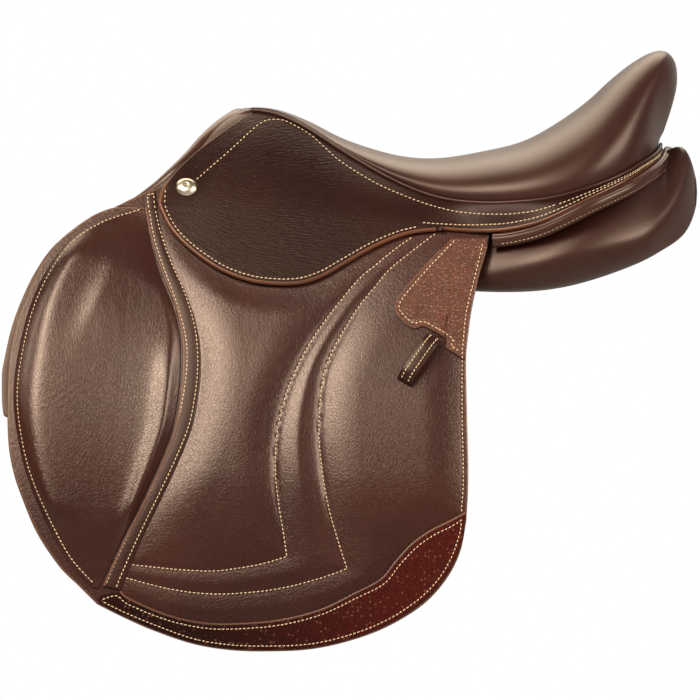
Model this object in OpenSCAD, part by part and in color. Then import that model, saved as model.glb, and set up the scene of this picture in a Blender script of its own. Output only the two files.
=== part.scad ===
// Close-contact jumping saddle.
// +X runs from pommel to cantle, +Z is up, the left side is at -Y.
// The origin lies on the centre plane, over the horse's back.

/* [Saddle] */
// Length from the front of the flap to the back of the panel
saddle_length = 612; // [580:1:640]
// Height from the hem of the flap to the top of the cantle
saddle_height = 529; // [500:1:560]
// Half of the width over the hems of the flaps
half_width = 250; // [235:1:265]
// Radius to which the hanging leather is curved
flap_radius = 900; // [860:5:960]
// Lean of the flap at its hem, in degrees
hem_lean = 5; // [4:0.5:6]

/* [Seat] */
// Half of the seat's greatest width, at the welt
seat_half_width = 136; // [128:1:142]
// Leather of the seat
seat_cover_t = 2.5; // [1.5:0.1:2.7]
// Foam between the seat leather and the tree
seat_foam_t = 18.8; // [12:0.2:19]
// Laminated wood of the tree
tree_t = 9.4; // [6:0.2:9.6]
// Steel springs under the rails
spring_t = 2; // [1:0.1:3]
// Webbing strained along the tree
seat_web_t = 2.2; // [1.5:0.1:3]
// Radius of the welt cord in the seat seam
welt_radius = 2.2; // [1.5:0.1:2.6]

/* [Skirt] */
// Leather of the skirt
skirt_t = 4; // [3:0.1:4.5]
// Radius of the rolled edge of the skirt
edge_radius = 2; // [1.4:0.1:2.4]
// Half width of the tail over the panels
tail_half_width = 148; // [146:1:154]
// Radius of the saddle nail's head
nail_radius = 8.5; // [6:0.1:9]
// Height of the saddle nail's head
nail_height = 4; // [3:0.1:5]
// Diameter of the saddle nail's shank
nail_shank_d = 4; // [3:0.1:5]
// Length of the saddle nail's shank
nail_shank_length = 9; // [6:0.5:12]

/* [Flap] */
// Leather of the flap
flap_t = 4.5; // [3.5:0.1:5]
// Height of the crown of the front insert
insert_crown = 7; // [4:0.5:9]
// Leather at the rim of the front insert
insert_rim_t = 1.2; // [0.8:0.1:1.6]
// Leather of the strip, hem trim and rear patch
trim_t = 1.2; // [0.8:0.1:1.8]
// Width of the keeper loop
keeper_width = 15; // [12:0.5:18]
// Length of the keeper loop
keeper_length = 50; // [46:1:54]
// Leather of the keeper loop
keeper_t = 2.5; // [2:0.1:3]
// Room under the keeper loop
keeper_room = 7.5; // [7:0.1:9]

/* [Girth straps] */
// Width of a billet
billet_width = 25; // [22:0.5:28]
// Thickness of a billet
billet_t = 3.2; // [2.5:0.1:3.4]
// Length of a billet below its pivot
billet_length = 270; // [250:1:280]
// Diameter of the holes in a billet
billet_hole_d = 5; // [4:0.1:6]
// Holes in each billet
billet_holes = 8; // [4:1:9]
// Step from hole to hole
billet_hole_step = 20; // [18:0.5:22]
// Thickness of a girth web
web_t = 2; // [1.2:0.1:2.4]
// Length of a girth web above and below the billet's pivot
web_length = 34; // [30:1:38]

/* [Under the flap] */
// Leather of the sweat flap
sweat_t = 3.5; // [2.5:0.1:4]
// Room between flap and sweat flap
girth_room = 12.8; // [12.6:0.1:15]

/* [Stirrup bar] */
// Length of the stirrup bar
bar_length = 88; // [80:1:92]
// Height of the bar
bar_height = 12; // [11:0.5:14]
// Thickness of the bar
bar_t = 8; // [7.5:0.1:9]
// Room behind the bar for the stirrup leather
bar_room = 11.5; // [10:0.1:12]
// Thickness of the bar's plate
bar_plate_t = 3.5; // [2.5:0.1:4]
// Diameter of the catch pin
catch_pin_d = 3; // [2.5:0.1:3.5]
// Length of the catch from its pin
catch_length = 16; // [14:0.5:18]
// Thickness of the catch
catch_t = 4; // [3:0.1:4.4]
// Diameter of the bar's rivets
rivet_d = 5; // [4:0.1:6]
// Room between the bar and the skirt that hangs over it
bar_clear = 26.7; // [24:0.1:29]
// Thickness of the head plate
head_plate_t = 4; // [3:0.1:4.5]
// Length of the head plate as a share of the saddle's length
head_plate_share = 0.072; // [0.066:0.001:0.078]

/* [Clearances] */
// Room between two moving layers
layer_gap = 1.2; // [0.9:0.1:1.3]
// Room between two sewn layers
sewn_gap = 0.2; // [0.1:0.01:0.3]
// Room between two pieces that only lie together
rest_gap = 0.3; // [0.2:0.05:0.4]
// Room round a pin, on its radius
pin_gap = 0.05; // [0.02:0.01:0.09]

/* [Hidden] */

// Fineness of the large cylinders and of small round parts
shell_fn = 360;
small_fn = 48;
// Cuts run past the faces that they open by this much
overrun = 1;
// How far a side outline is carried across the saddle
reach = half_width * 1.2;

// Side view: places are given as column and row of the reference picture.
// The origin's column and row, the saddle's span in columns and rows, and the row of the hem
origin_px = [350, 290];
span_px = [695, 601];
hem_px = 650;
function sx(column) = (column - origin_px[0]) * saddle_length / span_px[0];
function sz(row) = (origin_px[1] - row) * saddle_height / span_px[1];
function side(point) = [sx(point[0]), sz(point[1])];

// The hanging leather lies on cylinders about one line along X
axis_z = sz(hem_px) - flap_radius * sin(hem_lean);
axis_y = -half_width + flap_radius * cos(hem_lean);
function y_on(r, z) = axis_y - sqrt(r * r - pow(z - axis_z, 2));
function lean_on(r, z) = asin((z - axis_z) / r);
function on_shell(r, point) = [sx(point[0]), y_on(r, sz(point[1])), sz(point[1])];

// Radii of the layers, from the skirt inwards
skirt_in = flap_radius - skirt_t;
flap_out = skirt_in - layer_gap;
flap_in = flap_out - flap_t;
sweat_out = flap_in - girth_room;
sweat_in = sweat_out - sweat_t;
panel_out = sweat_in - rest_gap;
web_out = sweat_out + sewn_gap + web_t;
billet_out = web_out + rest_gap + billet_t;

// Curves through hand-chosen points
function blend4(a, b, c, d, t) =
    (2 * b + (c - a) * t + (2 * a - 5 * b + 4 * c - d) * t * t + (3 * b - a - 3 * c + d) * t * t * t) / 2;
function along(points, u) =
    let (last = len(points) - 1, i = max(0, min(last - 1, floor(u))))
    blend4(points[max(0, i - 1)], points[i], points[i + 1], points[min(last, i + 2)], u - i);
function smooth(points, steps) =
    [for (k = [0 : steps]) along(points, k * (len(points) - 1) / steps)];
function bezier(a, b, c, d, t) =
    a * pow(1 - t, 3) + b * 3 * t * pow(1 - t, 2) + c * 3 * t * t * (1 - t) + d * pow(t, 3);
function unit(v) = v / max(norm(v), 1e-9);
function flat(grid) = [for (row = grid) each row];

// Closed solid between an outer and an inner grid of points: rows run along +X, columns downwards
module grid_solid(outer, inner) {
    rows = len(outer) - 1;
    columns = len(outer[0]) - 1;
    o = function (i, j) i * (columns + 1) + j;
    n = function (i, j) (rows + 1) * (columns + 1) + o(i, j);
    quads = concat(
        [for (i = [0 : rows - 1]) for (j = [0 : columns - 1]) [o(i, j), o(i + 1, j), o(i + 1, j + 1), o(i, j + 1)]],
        [for (i = [0 : rows - 1]) for (j = [0 : columns - 1]) [n(i, j), n(i, j + 1), n(i + 1, j + 1), n(i + 1, j)]],
        [for (i = [0 : rows - 1]) [n(i, 0), n(i + 1, 0), o(i + 1, 0), o(i, 0)]],
        [for (i = [0 : rows - 1]) [o(i, columns), o(i + 1, columns), n(i + 1, columns), n(i, columns)]],
        [for (j = [0 : columns - 1]) [o(0, j), o(0, j + 1), n(0, j + 1), n(0, j)]],
        [for (j = [0 : columns - 1]) [n(rows, j), n(rows, j + 1), o(rows, j + 1), o(rows, j)]]);
    polyhedron(concat(flat(outer), flat(inner)),
        [for (q = quads) each [[q[0], q[1], q[2]], [q[0], q[2], q[3]]]]);
}

// Closed solid through a row of rings, capped at both ends
module ring_solid(rings) {
    last = len(rings) - 1;
    sides = len(rings[0]);
    at = function (k, a) k * sides + a % sides;
    middle = function (k) [for (c = [0 : 2]) [for (p = rings[k]) p[c]] * [for (p = rings[k]) 1] / sides];
    first_cap = (last + 1) * sides;
    polyhedron(concat(flat(rings), [middle(0), middle(last)]), concat(
        [for (k = [0 : last - 1]) for (a = [0 : sides - 1]) each
            [[at(k, a), at(k + 1, a), at(k + 1, a + 1)], [at(k, a), at(k + 1, a + 1), at(k, a + 1)]]],
        [for (a = [0 : sides - 1]) [at(0, a), at(0, a + 1), first_cap]],
        [for (a = [0 : sides - 1]) [at(last, a + 1), at(last, a), first_cap + 1]]));
}

// Round cord along a row of points
module cord(path, radius, sides) {
    last = len(path) - 1;
    ring_solid([for (k = [0 : last])
        let (t = unit(path[min(last, k + 1)] - path[max(0, k - 1)]),
            n = unit(cross(t, abs(t[2]) > 0.9 ? [1, 0, 0] : [0, 0, 1])), b = cross(t, n))
        [for (a = [0 : sides - 1]) path[k] + radius * (cos(360 * a / sides) * n + sin(360 * a / sides) * b)]]);
}

// Outward normals of a grid whose rows run along +X and whose columns run downwards
function grid_normal(g, i, j) =
    let (rows = len(g) - 1, columns = len(g[0]) - 1)
    unit(cross(g[i][min(columns, j + 1)] - g[i][max(0, j - 1)], g[min(rows, i + 1)][j] - g[max(0, i - 1)][j]));

// Layer of hanging leather with a side outline, between two radii
module layer(outline, r_in, r_out) {
    difference() {
        intersection() {
            rotate([90, 0, 0]) linear_extrude(reach) polygon([for (p = outline) side(p)]);
            axle(r_out, saddle_length * 2);
        }
        axle(r_in, saddle_length * 3);
    }
}
module axle(r, length)
    translate([0, axis_y, axis_z]) rotate([0, 90, 0]) cylinder(r = r, h = length, center = true, $fn = shell_fn);

// Puts children on a shell at a place of the side view: local -Y is outwards, local Z runs up the leather
module on_leather(r, point)
    translate(on_shell(r, point)) rotate([-lean_on(r, sz(point[1])), 0, 0]) children();

module right_side() mirror([0, 1, 0]) children();

// The fold: the line on the skirt about which flap and skirt lift
fold_px = [[165, 203], [455, 227]];
function fold_row(column) = fold_px[0][1]
    + (column - fold_px[0][0]) * (fold_px[1][1] - fold_px[0][1]) / (fold_px[1][0] - fold_px[0][0]);
fold_lean = lean_on(flap_radius, (sz(fold_px[0][1]) + sz(fold_px[1][1])) / 2);
rows_per_mm = span_px[1] / saddle_height;
// The flap starts below the fold, so that its upper edge lifts clear
fold_drop = (flap_radius - flap_in + layer_gap) * sin(fold_lean) * rows_per_mm;
fold_slit = rest_gap * rows_per_mm;

// Seat: a row of ribs, each from the welt to the spine
seat_spine_px = [[246, 106], [262, 105.5], [282, 109], [310, 120], [340, 135.5], [372, 147], [405, 155],
    [440, 156.5], [482, 150], [523, 140], [557, 122], [588, 100], [612, 78], [635, 60], [655, 50],
    [669, 50], [678, 62], [679, 82], [674, 106], [666, 130]];
welt_px = [[251, 108], [262, 108.5], [282, 113], [310, 127], [337, 145], [367, 163.5], [402, 182.5],
    [440, 197], [482, 202], [523, 200.5], [557, 196], [590, 186], [613, 177], [632, 167], [645, 159],
    [652, 154.5], [656, 151], [659, 147.5], [660.5, 144.5], [661, 142]];
// Half width at the welt as a share of the seat's, share of the full depth of the layers under the
// leather, and share of that depth which goes inwards at the welt instead of down
welt_shares = [0.26, 0.265, 0.3, 0.375, 0.46, 0.565, 0.69, 0.82, 0.925, 0.985, 1, 0.97, 0.9, 0.78, 0.62,
    0.46, 0.33, 0.22, 0.12, 0.05];
seat_depth_shares = [0.4, 0.4, 0.45, 0.6, 0.8, 1, 1, 1, 1, 1, 1, 0.9, 0.7, 0.5, 0.35, 0.28, 0.25, 0.22,
    0.2, 0.2];
seat_side_shares = [0, 0, 0.05, 0.1, 0.2, 0.3, 0.45, 0.7, 0.9, 1, 1, 1, 1, 1, 1, 1, 1, 1, 1, 1];
// Fullness of a rib: how far it rises upright at the welt, bulges there and stays flat at the spine
rib_rise_share = 0.55;
rib_bulge_share = 0.07;
rib_flat_shares = [0.6, 0.6, 0.6, 0.6, 0.6, 0.62, 0.65, 0.68, 0.7, 0.72, 0.76, 0.8, 0.85, 0.9, 0.95, 1.1, 1.3,
    1.5, 1.6, 1.6];

seat_rows = len(welt_px) - 1;
function spine_at(u) = let (p = along(seat_spine_px, u)) [sx(p[0]), 0, sz(p[1])];
function welt_at(u) =
    let (p = along(welt_px, u)) [sx(p[0]), -seat_half_width * along(welt_shares, u), sz(p[1])];
small_step_share = 0.05;
function welt_out(u) =
    let (a = welt_at(max(0, u - small_step_share)), b = welt_at(min(seat_rows, u + small_step_share)))
    unit([a[1] - b[1], a[0] - b[0], 0] * [[-1, 0, 0], [0, 1, 0], [0, 0, 1]]);
function spine_in(u) =
    let (a = spine_at(max(0, u - small_step_share)), b = spine_at(min(seat_rows, u + small_step_share)))
    unit([b[2] - a[2], 0, a[0] - b[0]]);
// Point of the left half of the seat at a depth below the leather: t is 0 at the welt, 1 at the spine
function seat_point(u, t, depth) =
    let (d = depth * along(seat_depth_shares, u), inward = along(seat_side_shares, u), out = welt_out(u),
        foot = welt_at(u) - out * d * inward - [0, 0, d * (1 - inward)], top = spine_at(u) + spine_in(u) * d,
        rise = [0, 0, rib_rise_share * (spine_at(u)[2] - welt_at(u)[2])],
        bulge = out * rib_bulge_share * seat_half_width * abs(along(welt_shares, u)))
    bezier(foot, foot + rise + bulge, top + [0, along(rib_flat_shares, u) * foot[1], 0], top, t);
function seat_across(u, t, depth) =
    t <= 1 ? seat_point(u, t, depth) : let (p = seat_point(u, 2 - t, depth)) [p[0], -p[1], p[2]];
// Layer of the seat between two depths. All layers share one net, so that they nest: nodes along the ribs
// are counted from the pommel, and nodes across from the left welt to the right one
net_per_rib = 2;
net_across = 14;
function net_u(i) = i / net_per_rib;
function net_t(j) = 2 * j / net_across;
module seat_layer(ribs, across, depth_out, depth_in) {
    first = ribs[0] * net_per_rib;
    last = ribs[1] * net_per_rib;
    u = [for (i = [first : last]) net_u(i == first ? i + ribs[2] : i == last ? i - ribs[2] : i)];
    grid = function (depth) [for (row = u) [for (j = [across[1] : -1 : across[0]])
        seat_across(row, net_t(j), depth)]];
    grid_solid(grid(depth_out), grid(depth_in));
}
foam_out = seat_cover_t + rest_gap * 2;
foam_in = foam_out + seat_foam_t;
tree_out = foam_in + rest_gap * 3;
tree_in = tree_out + tree_t;
spring_out = tree_in + rest_gap * 2;
// Where the tree's parts meet, in ribs, with the slit between them as a share of a rib,
// and which columns of the net the rails, springs and web take up
tree_slit_share = 0.06;
head_ribs = [0, 4, tree_slit_share];
rail_ribs = [4, 11, tree_slit_share];
cantle_ribs = [11, 14, tree_slit_share];
spring_ribs = [3, 12, 0];
whole_columns = [0, net_across];
tree_columns = [1, net_across - 1];
rail_columns = [1, 4];
spring_columns = [2, 3];
function right_columns(columns) = [net_across - columns[1], net_across - columns[0]];
web_columns = [5, net_across - 5];

module seat_cover() color("#3a2118") seat_layer([0, seat_rows, 0], whole_columns, 0, seat_cover_t);
module seat_foam() color("#d9cfae") seat_layer([0, seat_rows - 1, 0], whole_columns, foam_out, foam_in);
module tree_head() color("#b58a54") seat_layer(head_ribs, tree_columns, tree_out, tree_in);
module tree_cantle() color("#b58a54") seat_layer(cantle_ribs, tree_columns, tree_out, tree_in);
module tree_rail_left() color("#b58a54") seat_layer(rail_ribs, rail_columns, tree_out, tree_in);
module tree_rail_right() color("#b58a54") seat_layer(rail_ribs, right_columns(rail_columns), tree_out, tree_in);
module tree_springs() color("#8d9095") for (columns = [spring_columns, right_columns(spring_columns)])
    seat_layer(spring_ribs, columns, spring_out, spring_out + spring_t);
module seat_web() color("#cfc4a4") seat_layer(rail_ribs, web_columns, tree_out, tree_out + seat_web_t);

// Cord in the seam, just outside the foot of the seat
welt_rings = 44;
function welt_cord(u) = welt_at(u) + welt_out(u) * (welt_radius + rest_gap) - [0, 0, welt_radius * 0.4];
module seat_welt() color("#2b1610") {
    left = [for (k = [0 : welt_rings]) welt_cord(seat_rows * k / welt_rings)];
    right = [for (k = [welt_rings : -1 : 0]) [left[k][0], -left[k][1], left[k][2]]];
    cord(concat(left, right), welt_radius, 6);
}

// Skirt yoke: rows from the welt down to the fold, and behind it to the edge of the tail
yoke_welt_shares = [0.1, 0.55, 1.4, 2.3, 3.1, 3.8, 4.6, 5.35, 6.2, 7, 7.75, 8.5, 9.05, 9.5, 10.2, 10.8, 11.6,
    12.5, 13.6, 15, 16.8, 18.9];
yoke_base_px = [[164, 202.9], [190, 205], [220, 207.5], [255, 210.4], [295, 213.7], [325, 216.2],
    [355, 218.7], [382, 221], [412, 223.4], [441, 225.8], [472, 228], [502, 227.5], [527, 223], [545, 217.5],
    [566, 208], [586, 198], [607, 188], [629, 177], [648, 165], [659, 157.5], [664, 153.5], [666, 151.5]];
// Behind the fold the tail widens over the panel: shares of its half width
tail_shares = [0.925, 0.96, 0.985, 1, 0.985, 0.93, 0.825, 0.64, 0.42, 0.2, 0.003];
tail_first = 11;
yoke_last = len(yoke_base_px) - 1;
function yoke_base(k) = k < tail_first
    ? on_shell(flap_radius, yoke_base_px[k])
    : [sx(yoke_base_px[k][0]), -tail_half_width * tail_shares[k - tail_first], sz(yoke_base_px[k][1])];
yoke_bases = [for (k = [0 : yoke_last]) yoke_base(k)];
function yoke_top(u) =
    welt_at(u) + welt_out(u) * (welt_radius + rest_gap) - [0, 0, welt_radius * 1.9 + rest_gap];
function yoke_lean(k) = k < tail_first ? lean_on(flap_radius, yoke_bases[k][2])
    : let (u = yoke_welt_shares[k], rise = yoke_top(u) - yoke_bases[k]) atan2(-welt_out(u) * rise, rise[2]);
yoke_leans = [for (k = [0 : yoke_last]) yoke_lean(k)];
yoke_hang_share = 0.24;
yoke_fall_share = 0.36;
yoke_full_share = 0.09;
yoke_up_share = 0.8;
function yoke_point(k, t) =
    let (u = along(yoke_welt_shares, k), base = along(yoke_bases, k), lean = along(yoke_leans, k),
        top = yoke_top(u), fall = base - top, length = norm(fall), out = unit(welt_out(u) + [0, 0, yoke_up_share]),
        inward = unit(-welt_out(u)))
    bezier(top, top + fall * yoke_fall_share + out * length * yoke_full_share,
        base + (inward * sin(lean) + [0, 0, cos(lean)]) * length * yoke_hang_share, base, t);
yoke_steps = 32;
yoke_columns = 6;
yoke_outer = [for (i = [0 : yoke_steps]) [for (j = [0 : yoke_columns])
    yoke_point(yoke_last * i / yoke_steps, j / yoke_columns)]];
// Along the fold the lower rim is level, so that the lobe meets it squarely
fold_steps = 15;
yoke_inner = [for (i = [0 : yoke_steps]) [for (j = [0 : yoke_columns])
    let (n = grid_normal(yoke_outer, i, j), level = unit([n[0], n[1], 0]),
        p = yoke_outer[i][j] - (j == yoke_columns && i <= fold_steps ? level : n) * skirt_t)
    [p[0], min(p[1], -rest_gap / 2), p[2]]]];
// Place of the saddle nail on the yoke, in rows and as a share of the way down
nail_row_share = 0.72;
nail_fall_share = 0.87;
nail_spot = yoke_point(nail_row_share, nail_fall_share);
nail_normal = unit(cross(
    yoke_point(nail_row_share, nail_fall_share + small_step_share) - nail_spot,
    yoke_point(nail_row_share + small_step_share, nail_fall_share) - nail_spot));
module at_nail() translate(nail_spot)
    rotate([0, acos(nail_normal[2]), atan2(nail_normal[1], nail_normal[0])]) children();
module skirt_yoke_left() color("#3b2118") difference() {
    grid_solid(yoke_outer, yoke_inner);
    at_nail() translate([0, 0, -skirt_t * 3])
        cylinder(d = nail_shank_d + pin_gap * 2, h = skirt_t * 4, $fn = small_fn);
}
module skirt_yoke_right() right_side() skirt_yoke_left();

// Domed nail with a dimpled middle, and its shank
nail_seat = 0.5;
module nail() at_nail() {
    difference() {
        intersection() {
            translate([0, 0, nail_seat]) cylinder(r = nail_radius, h = nail_height, $fn = small_fn);
            translate([0, 0, nail_seat + nail_height - nail_ball]) sphere(r = nail_ball, $fn = small_fn * 2);
        }
        translate([0, 0, nail_seat + nail_height]) sphere(r = nail_height * 0.6, $fn = small_fn);
    }
    translate([0, 0, -nail_shank_length]) cylinder(d = nail_shank_d, h = nail_shank_length + nail_seat + overrun,
        $fn = small_fn);
}
nail_ball = (nail_radius * nail_radius + nail_height * nail_height) / (2 * nail_height);
module saddle_nails() color("#cfc8b0") {
    nail();
    right_side() nail();
}

// Loose lobe of the skirt, below the fold
lobe_px = [[166, 208], [173, 227], [184, 241], [203, 257], [226, 271], [252, 280], [278, 283], [301, 282],
    [322, 275], [341, 264], [365, 250], [381, 242], [400, 234], [431, 229.3]];
lobe_steps = 40;
lobe_edge = smooth(lobe_px, lobe_steps);
lobe_tip_px = 444;
lobe_outline = concat([[fold_px[0][0], fold_row(fold_px[0][0]) + fold_slit]], lobe_edge,
    [[lobe_tip_px, fold_row(lobe_tip_px) + fold_slit]]);
module skirt_left() color("#3b2118") layer(lobe_outline, skirt_in, flap_radius);
module skirt_right() right_side() skirt_left();

// Rolled edges: along the lobe, and along the tail
edge_sides = 6;
lobe_edge_radius = flap_radius - skirt_t / 2;
lobe_edge_path = [for (p = lobe_edge) on_shell(lobe_edge_radius, p)];
function lobe_roll(k) =
    let (a = lobe_edge_path[max(0, k - 1)], b = lobe_edge_path[min(lobe_steps, k + 1)],
        n = unit([a[2] - b[2], 0, b[0] - a[0]]))
    lobe_edge_path[k] - n * (edge_radius + rest_gap);
module skirt_edge_left() color("#8a6248")
    cord([for (k = [1 : 1 : lobe_steps]) lobe_roll(k)], edge_radius, edge_sides);
module skirt_edge_right() right_side() skirt_edge_left();
function tail_roll(i) =
    let (rim = yoke_outer[i][yoke_columns], fall = rim - yoke_outer[i][yoke_columns - 1],
        run = unit(yoke_outer[min(yoke_steps, i + 1)][yoke_columns] - yoke_outer[i - 1][yoke_columns]),
        down = unit(fall - run * (run * fall)),
        p = rim - grid_normal(yoke_outer, i, yoke_columns) * skirt_t / 2 + down * (edge_radius + rest_gap * 2))
    [p[0], min(p[1], -edge_radius), p[2]];
module tail_edge_left() color("#8a6248")
    cord([for (i = [fold_steps : yoke_steps]) tail_roll(i)], edge_radius, edge_sides);
module tail_edge_right() right_side() tail_edge_left();

// Stitched roll under the tail, round the back of the cantle
band_radius = 6.2;
band_sides = 8;
band_start_share = 10.8;
band_steps = 18;
// The band hangs below the tail at the sides and stands behind it at the back
band_drop = 2 * edge_radius + 11 * rest_gap + band_radius;
band_rise_share = 0.44;
band_out = band_radius + skirt_t / 2;
function band_point(k) =
    let (s = k / band_steps, row = band_start_share + (yoke_last - band_start_share) * s,
        p = along(yoke_bases, row), out = welt_out(along(yoke_welt_shares, row)))
    p + out * (band_out * s - skirt_t / 2 * (1 - s)) - [0, 0, band_drop * (1 - band_rise_share * s * s)];
module rear_band() color("#4a2c20") {
    left = [for (k = [0 : band_steps - 1]) band_point(k)];
    right = [for (k = [band_steps - 1 : -1 : 0]) [left[k][0], -left[k][1], left[k][2]]];
    cord(concat(left, [let (p = band_point(band_steps)) [p[0], 0, p[2]]], right), band_radius, band_sides);
}

// Leather roll over the front arch, in front of the skirt
roll_radius = 7;
roll_sides = 8;
roll_px = [[237, 117], [233, 119], [222, 127], [207, 142], [193, 158], [177, 173], [160, 186], [147, 194.5]];
roll_shares = [0, 0.13, 0.26, 0.4, 0.51, 0.605, 0.69, 0.735];
roll_steps = 14;
roll_path = [for (k = [0 : roll_steps]) let (u = k * (len(roll_px) - 1) / roll_steps, p = along(roll_px, u))
    [sx(p[0]), -tail_half_width * along(roll_shares, u), sz(p[1])]];
module pommel_roll() color("#4a2c20") {
    left = [for (k = [roll_steps : -1 : 1]) roll_path[k]];
    right = [for (k = [0 : roll_steps]) [roll_path[k][0], -roll_path[k][1], roll_path[k][2]]];
    cord(concat(left, right), roll_radius, roll_sides);
}

// Panel: stuffed cushion, in sections from front to back.
// Each section: column; then row and share of the panel's half width for six points,
// from the inner top over the outer top, outer middle, outer bottom and bearing face to the inner bottom
panel_half_width = 150;
panel_columns_px = [200, 212, 290, 380, 450, 490, 540, 590, 640, 672, 686, 694];
panel_rows_px = [
    [219, 219, 232, 247, 240, 228],
    [212, 213, 236, 262, 246, 224],
    [209, 211, 240, 268, 244, 216],
    [203, 216, 250, 280, 258, 222],
    [202, 226, 262, 288, 270, 228],
    [206, 240.5, 264, 290, 277, 232],
    [204, 247, 265, 288, 280, 235],
    [196, 228.5, 251, 278, 271, 228],
    [185, 202.5, 229, 259, 253, 214],
    [176, 188, 209, 240, 234, 202],
    [160, 161, 190, 226, 222, 194],
    [172, 172, 192, 212, 210, 194]];
panel_shares = [
    [0.42, 0.54, 0.72, 0.66, 0.5, 0.44],
    [0.36, 0.54, 0.78, 0.75, 0.54, 0.38],
    [0.28, 0.53, 0.8, 0.78, 0.47, 0.29],
    [0.24, 0.57, 0.82, 0.82, 0.48, 0.25],
    [0.235, 0.62, 0.84, 0.85, 0.5, 0.24],
    [0.235, 0.78, 0.89, 0.85, 0.53, 0.24],
    [0.24, 0.93, 1, 0.89, 0.56, 0.25],
    [0.25, 0.95, 1, 0.86, 0.56, 0.26],
    [0.24, 0.78, 0.85, 0.72, 0.5, 0.25],
    [0.2, 0.5, 0.61, 0.54, 0.38, 0.22],
    [0.18, 0.34, 0.45, 0.42, 0.32, 0.2],
    [0.22, 0.27, 0.33, 0.33, 0.29, 0.24]];
panel_steps = 22;
panel_sides = 14;
flap_rear_px = 495;
sweat_rear_px = 472;
function panel_limit(column, z) = column > flap_rear_px ? panel_half_width
    : -y_on(column < sweat_rear_px ? panel_out : flap_in - rest_gap * 4, z);
function panel_section(u) =
    let (column = along(panel_columns_px, u), rows = along(panel_rows_px, u), shares = along(panel_shares, u))
    [for (a = [0 : panel_sides - 1])
        let (v = 6 * a / panel_sides, ring = [for (k = [-1 : 6]) [rows[(k + 6) % 6], shares[(k + 6) % 6]]],
            i = floor(v), p = blend4(ring[i], ring[i + 1], ring[i + 2], ring[(i + 3) % 8 == 0 ? 2 : i + 3], v - i),
            z = sz(p[0]))
        [sx(column), -min(panel_half_width * p[1], panel_limit(column, z)), z]];
module panel_left() color("#5a3a2c")
    ring_solid([for (k = [0 : panel_steps]) panel_section(k * (len(panel_columns_px) - 1) / panel_steps)]);
module panel_right() right_side() panel_left();

// Sweat flap: its front edge shows in front of the flap, and steps back under it
sweat_front_px = [[140, 206], [96, 219], [59, 240], [34, 273], [14, 319], [4, 361], [2, 380], [4, 414]];
sweat_hem_px = [[15, 417], [20, 445], [42, 505], [75, 555], [115, 592], [175, 620], [250, 634], [330, 628],
    [395, 596], [438, 545], [452, 480], [450, 380], [440, 300], [436, 230]];
sweat_outline = concat(smooth(sweat_front_px, 16), smooth(sweat_hem_px, 26));
module sweat_flap_left() color("#4a2f24") layer(sweat_outline, sweat_in, sweat_out);
module sweat_flap_right() right_side() sweat_flap_left();

// Blocks on the sweat flap, before and behind the rider's leg
knee_px = [[74, 244], [42, 290], [20, 350], [16, 395], [26, 445], [46, 505], [72, 545], [88, 530], [72, 470],
    [66, 400], [70, 340], [88, 285], [108, 248], [94, 238], [74, 244]];
thigh_px = [[436, 420], [427, 470], [421, 530], [427, 550], [436, 538], [446, 490], [448, 440], [444, 418],
    [436, 420]];
knee_steps = 32;
thigh_steps = 20;
module block(outline_px, steps)
    layer([for (k = [0 : steps - 1]) along(outline_px, k * (len(outline_px) - 1) / steps)],
        sweat_out + sewn_gap, flap_in - layer_gap);
module knee_block_left() color("#4a2f24") block(knee_px, knee_steps);
module knee_block_right() right_side() knee_block_left();
module thigh_block_left() color("#4a2f24") block(thigh_px, thigh_steps);
module thigh_block_right() right_side() thigh_block_left();

// Flap: a strip nailed to the tree above the fold, and the hanging flap below it
flap_front_px = 142;
flap_back_px = 489;
flap_top_rise = 4;
function flap_line(column) = fold_row(column) + fold_drop;
flap_top_outline = [
    [flap_front_px, flap_line(flap_front_px) - fold_slit],
    [flap_back_px, flap_line(flap_back_px) - fold_slit],
    [flap_back_px, fold_row(flap_back_px) - flap_top_rise * rows_per_mm],
    [flap_front_px + flap_top_rise * 6, fold_row(flap_front_px + flap_top_rise * 6) - flap_top_rise * rows_per_mm]];
module flap_top_left() color("#4e342a") layer(flap_top_outline, flap_in, flap_out);
module flap_top_right() right_side() flap_top_left();

flap_edge_px = [[128, 206.5], [110, 210], [88, 218], [67, 233], [53, 247], [37, 273], [26, 299], [17, 323],
    [10, 358], [8, 395], [9, 440], [14, 470], [23, 497], [38, 532], [60, 565], [80, 585], [98, 603], [126, 617],
    [156, 630], [195, 643], [233, 649], [271, 650], [310, 648], [348, 640], [386, 626], [422, 604], [446, 578],
    [460, 550], [466, 519], [468, 478], [467, 420], [466, 362], [468, 335], [472, 307], [479, 275], [487, 248]];
flap_steps = 90;
flap_outline = concat([[flap_back_px, flap_line(flap_back_px)], [flap_front_px, flap_line(flap_front_px)]],
    smooth(flap_edge_px, flap_steps));
module flap_left() color("#5e4238") layer(flap_outline, flap_in, flap_out);
module flap_right() right_side() flap_left();

// Padded insert along the front of the flap: a lens with a crown and thin rims
insert_front_px = [[137, 209], [100, 221], [70, 240], [47, 269], [30, 306], [19, 350], [14, 391], [17, 429],
    [27, 473], [45, 517], [68, 559], [93, 588]];
insert_rear_px = [[143, 209], [150, 239], [160, 274], [173, 306], [180, 335], [181, 362], [179, 394], [172, 432],
    [158, 467], [141, 503], [123, 538], [99, 590]];
insert_steps = 18;
insert_columns = 8;
insert_round_share = 0.6;
function insert_px(u, v) = along(insert_front_px, v * (len(insert_front_px) - 1)) * (1 - u)
    + along(insert_rear_px, v * (len(insert_rear_px) - 1)) * u;
function insert_grid(height, crown) = [for (i = [0 : insert_columns]) [for (j = [0 : insert_steps])
    let (u = i / insert_columns, v = j / insert_steps,
        swell = pow(max(0, sin(180 * u)), insert_round_share) * pow(max(0, sin(180 * v)), insert_round_share))
    on_shell(flap_out + height + crown * swell, insert_px(u, v))]];
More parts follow.
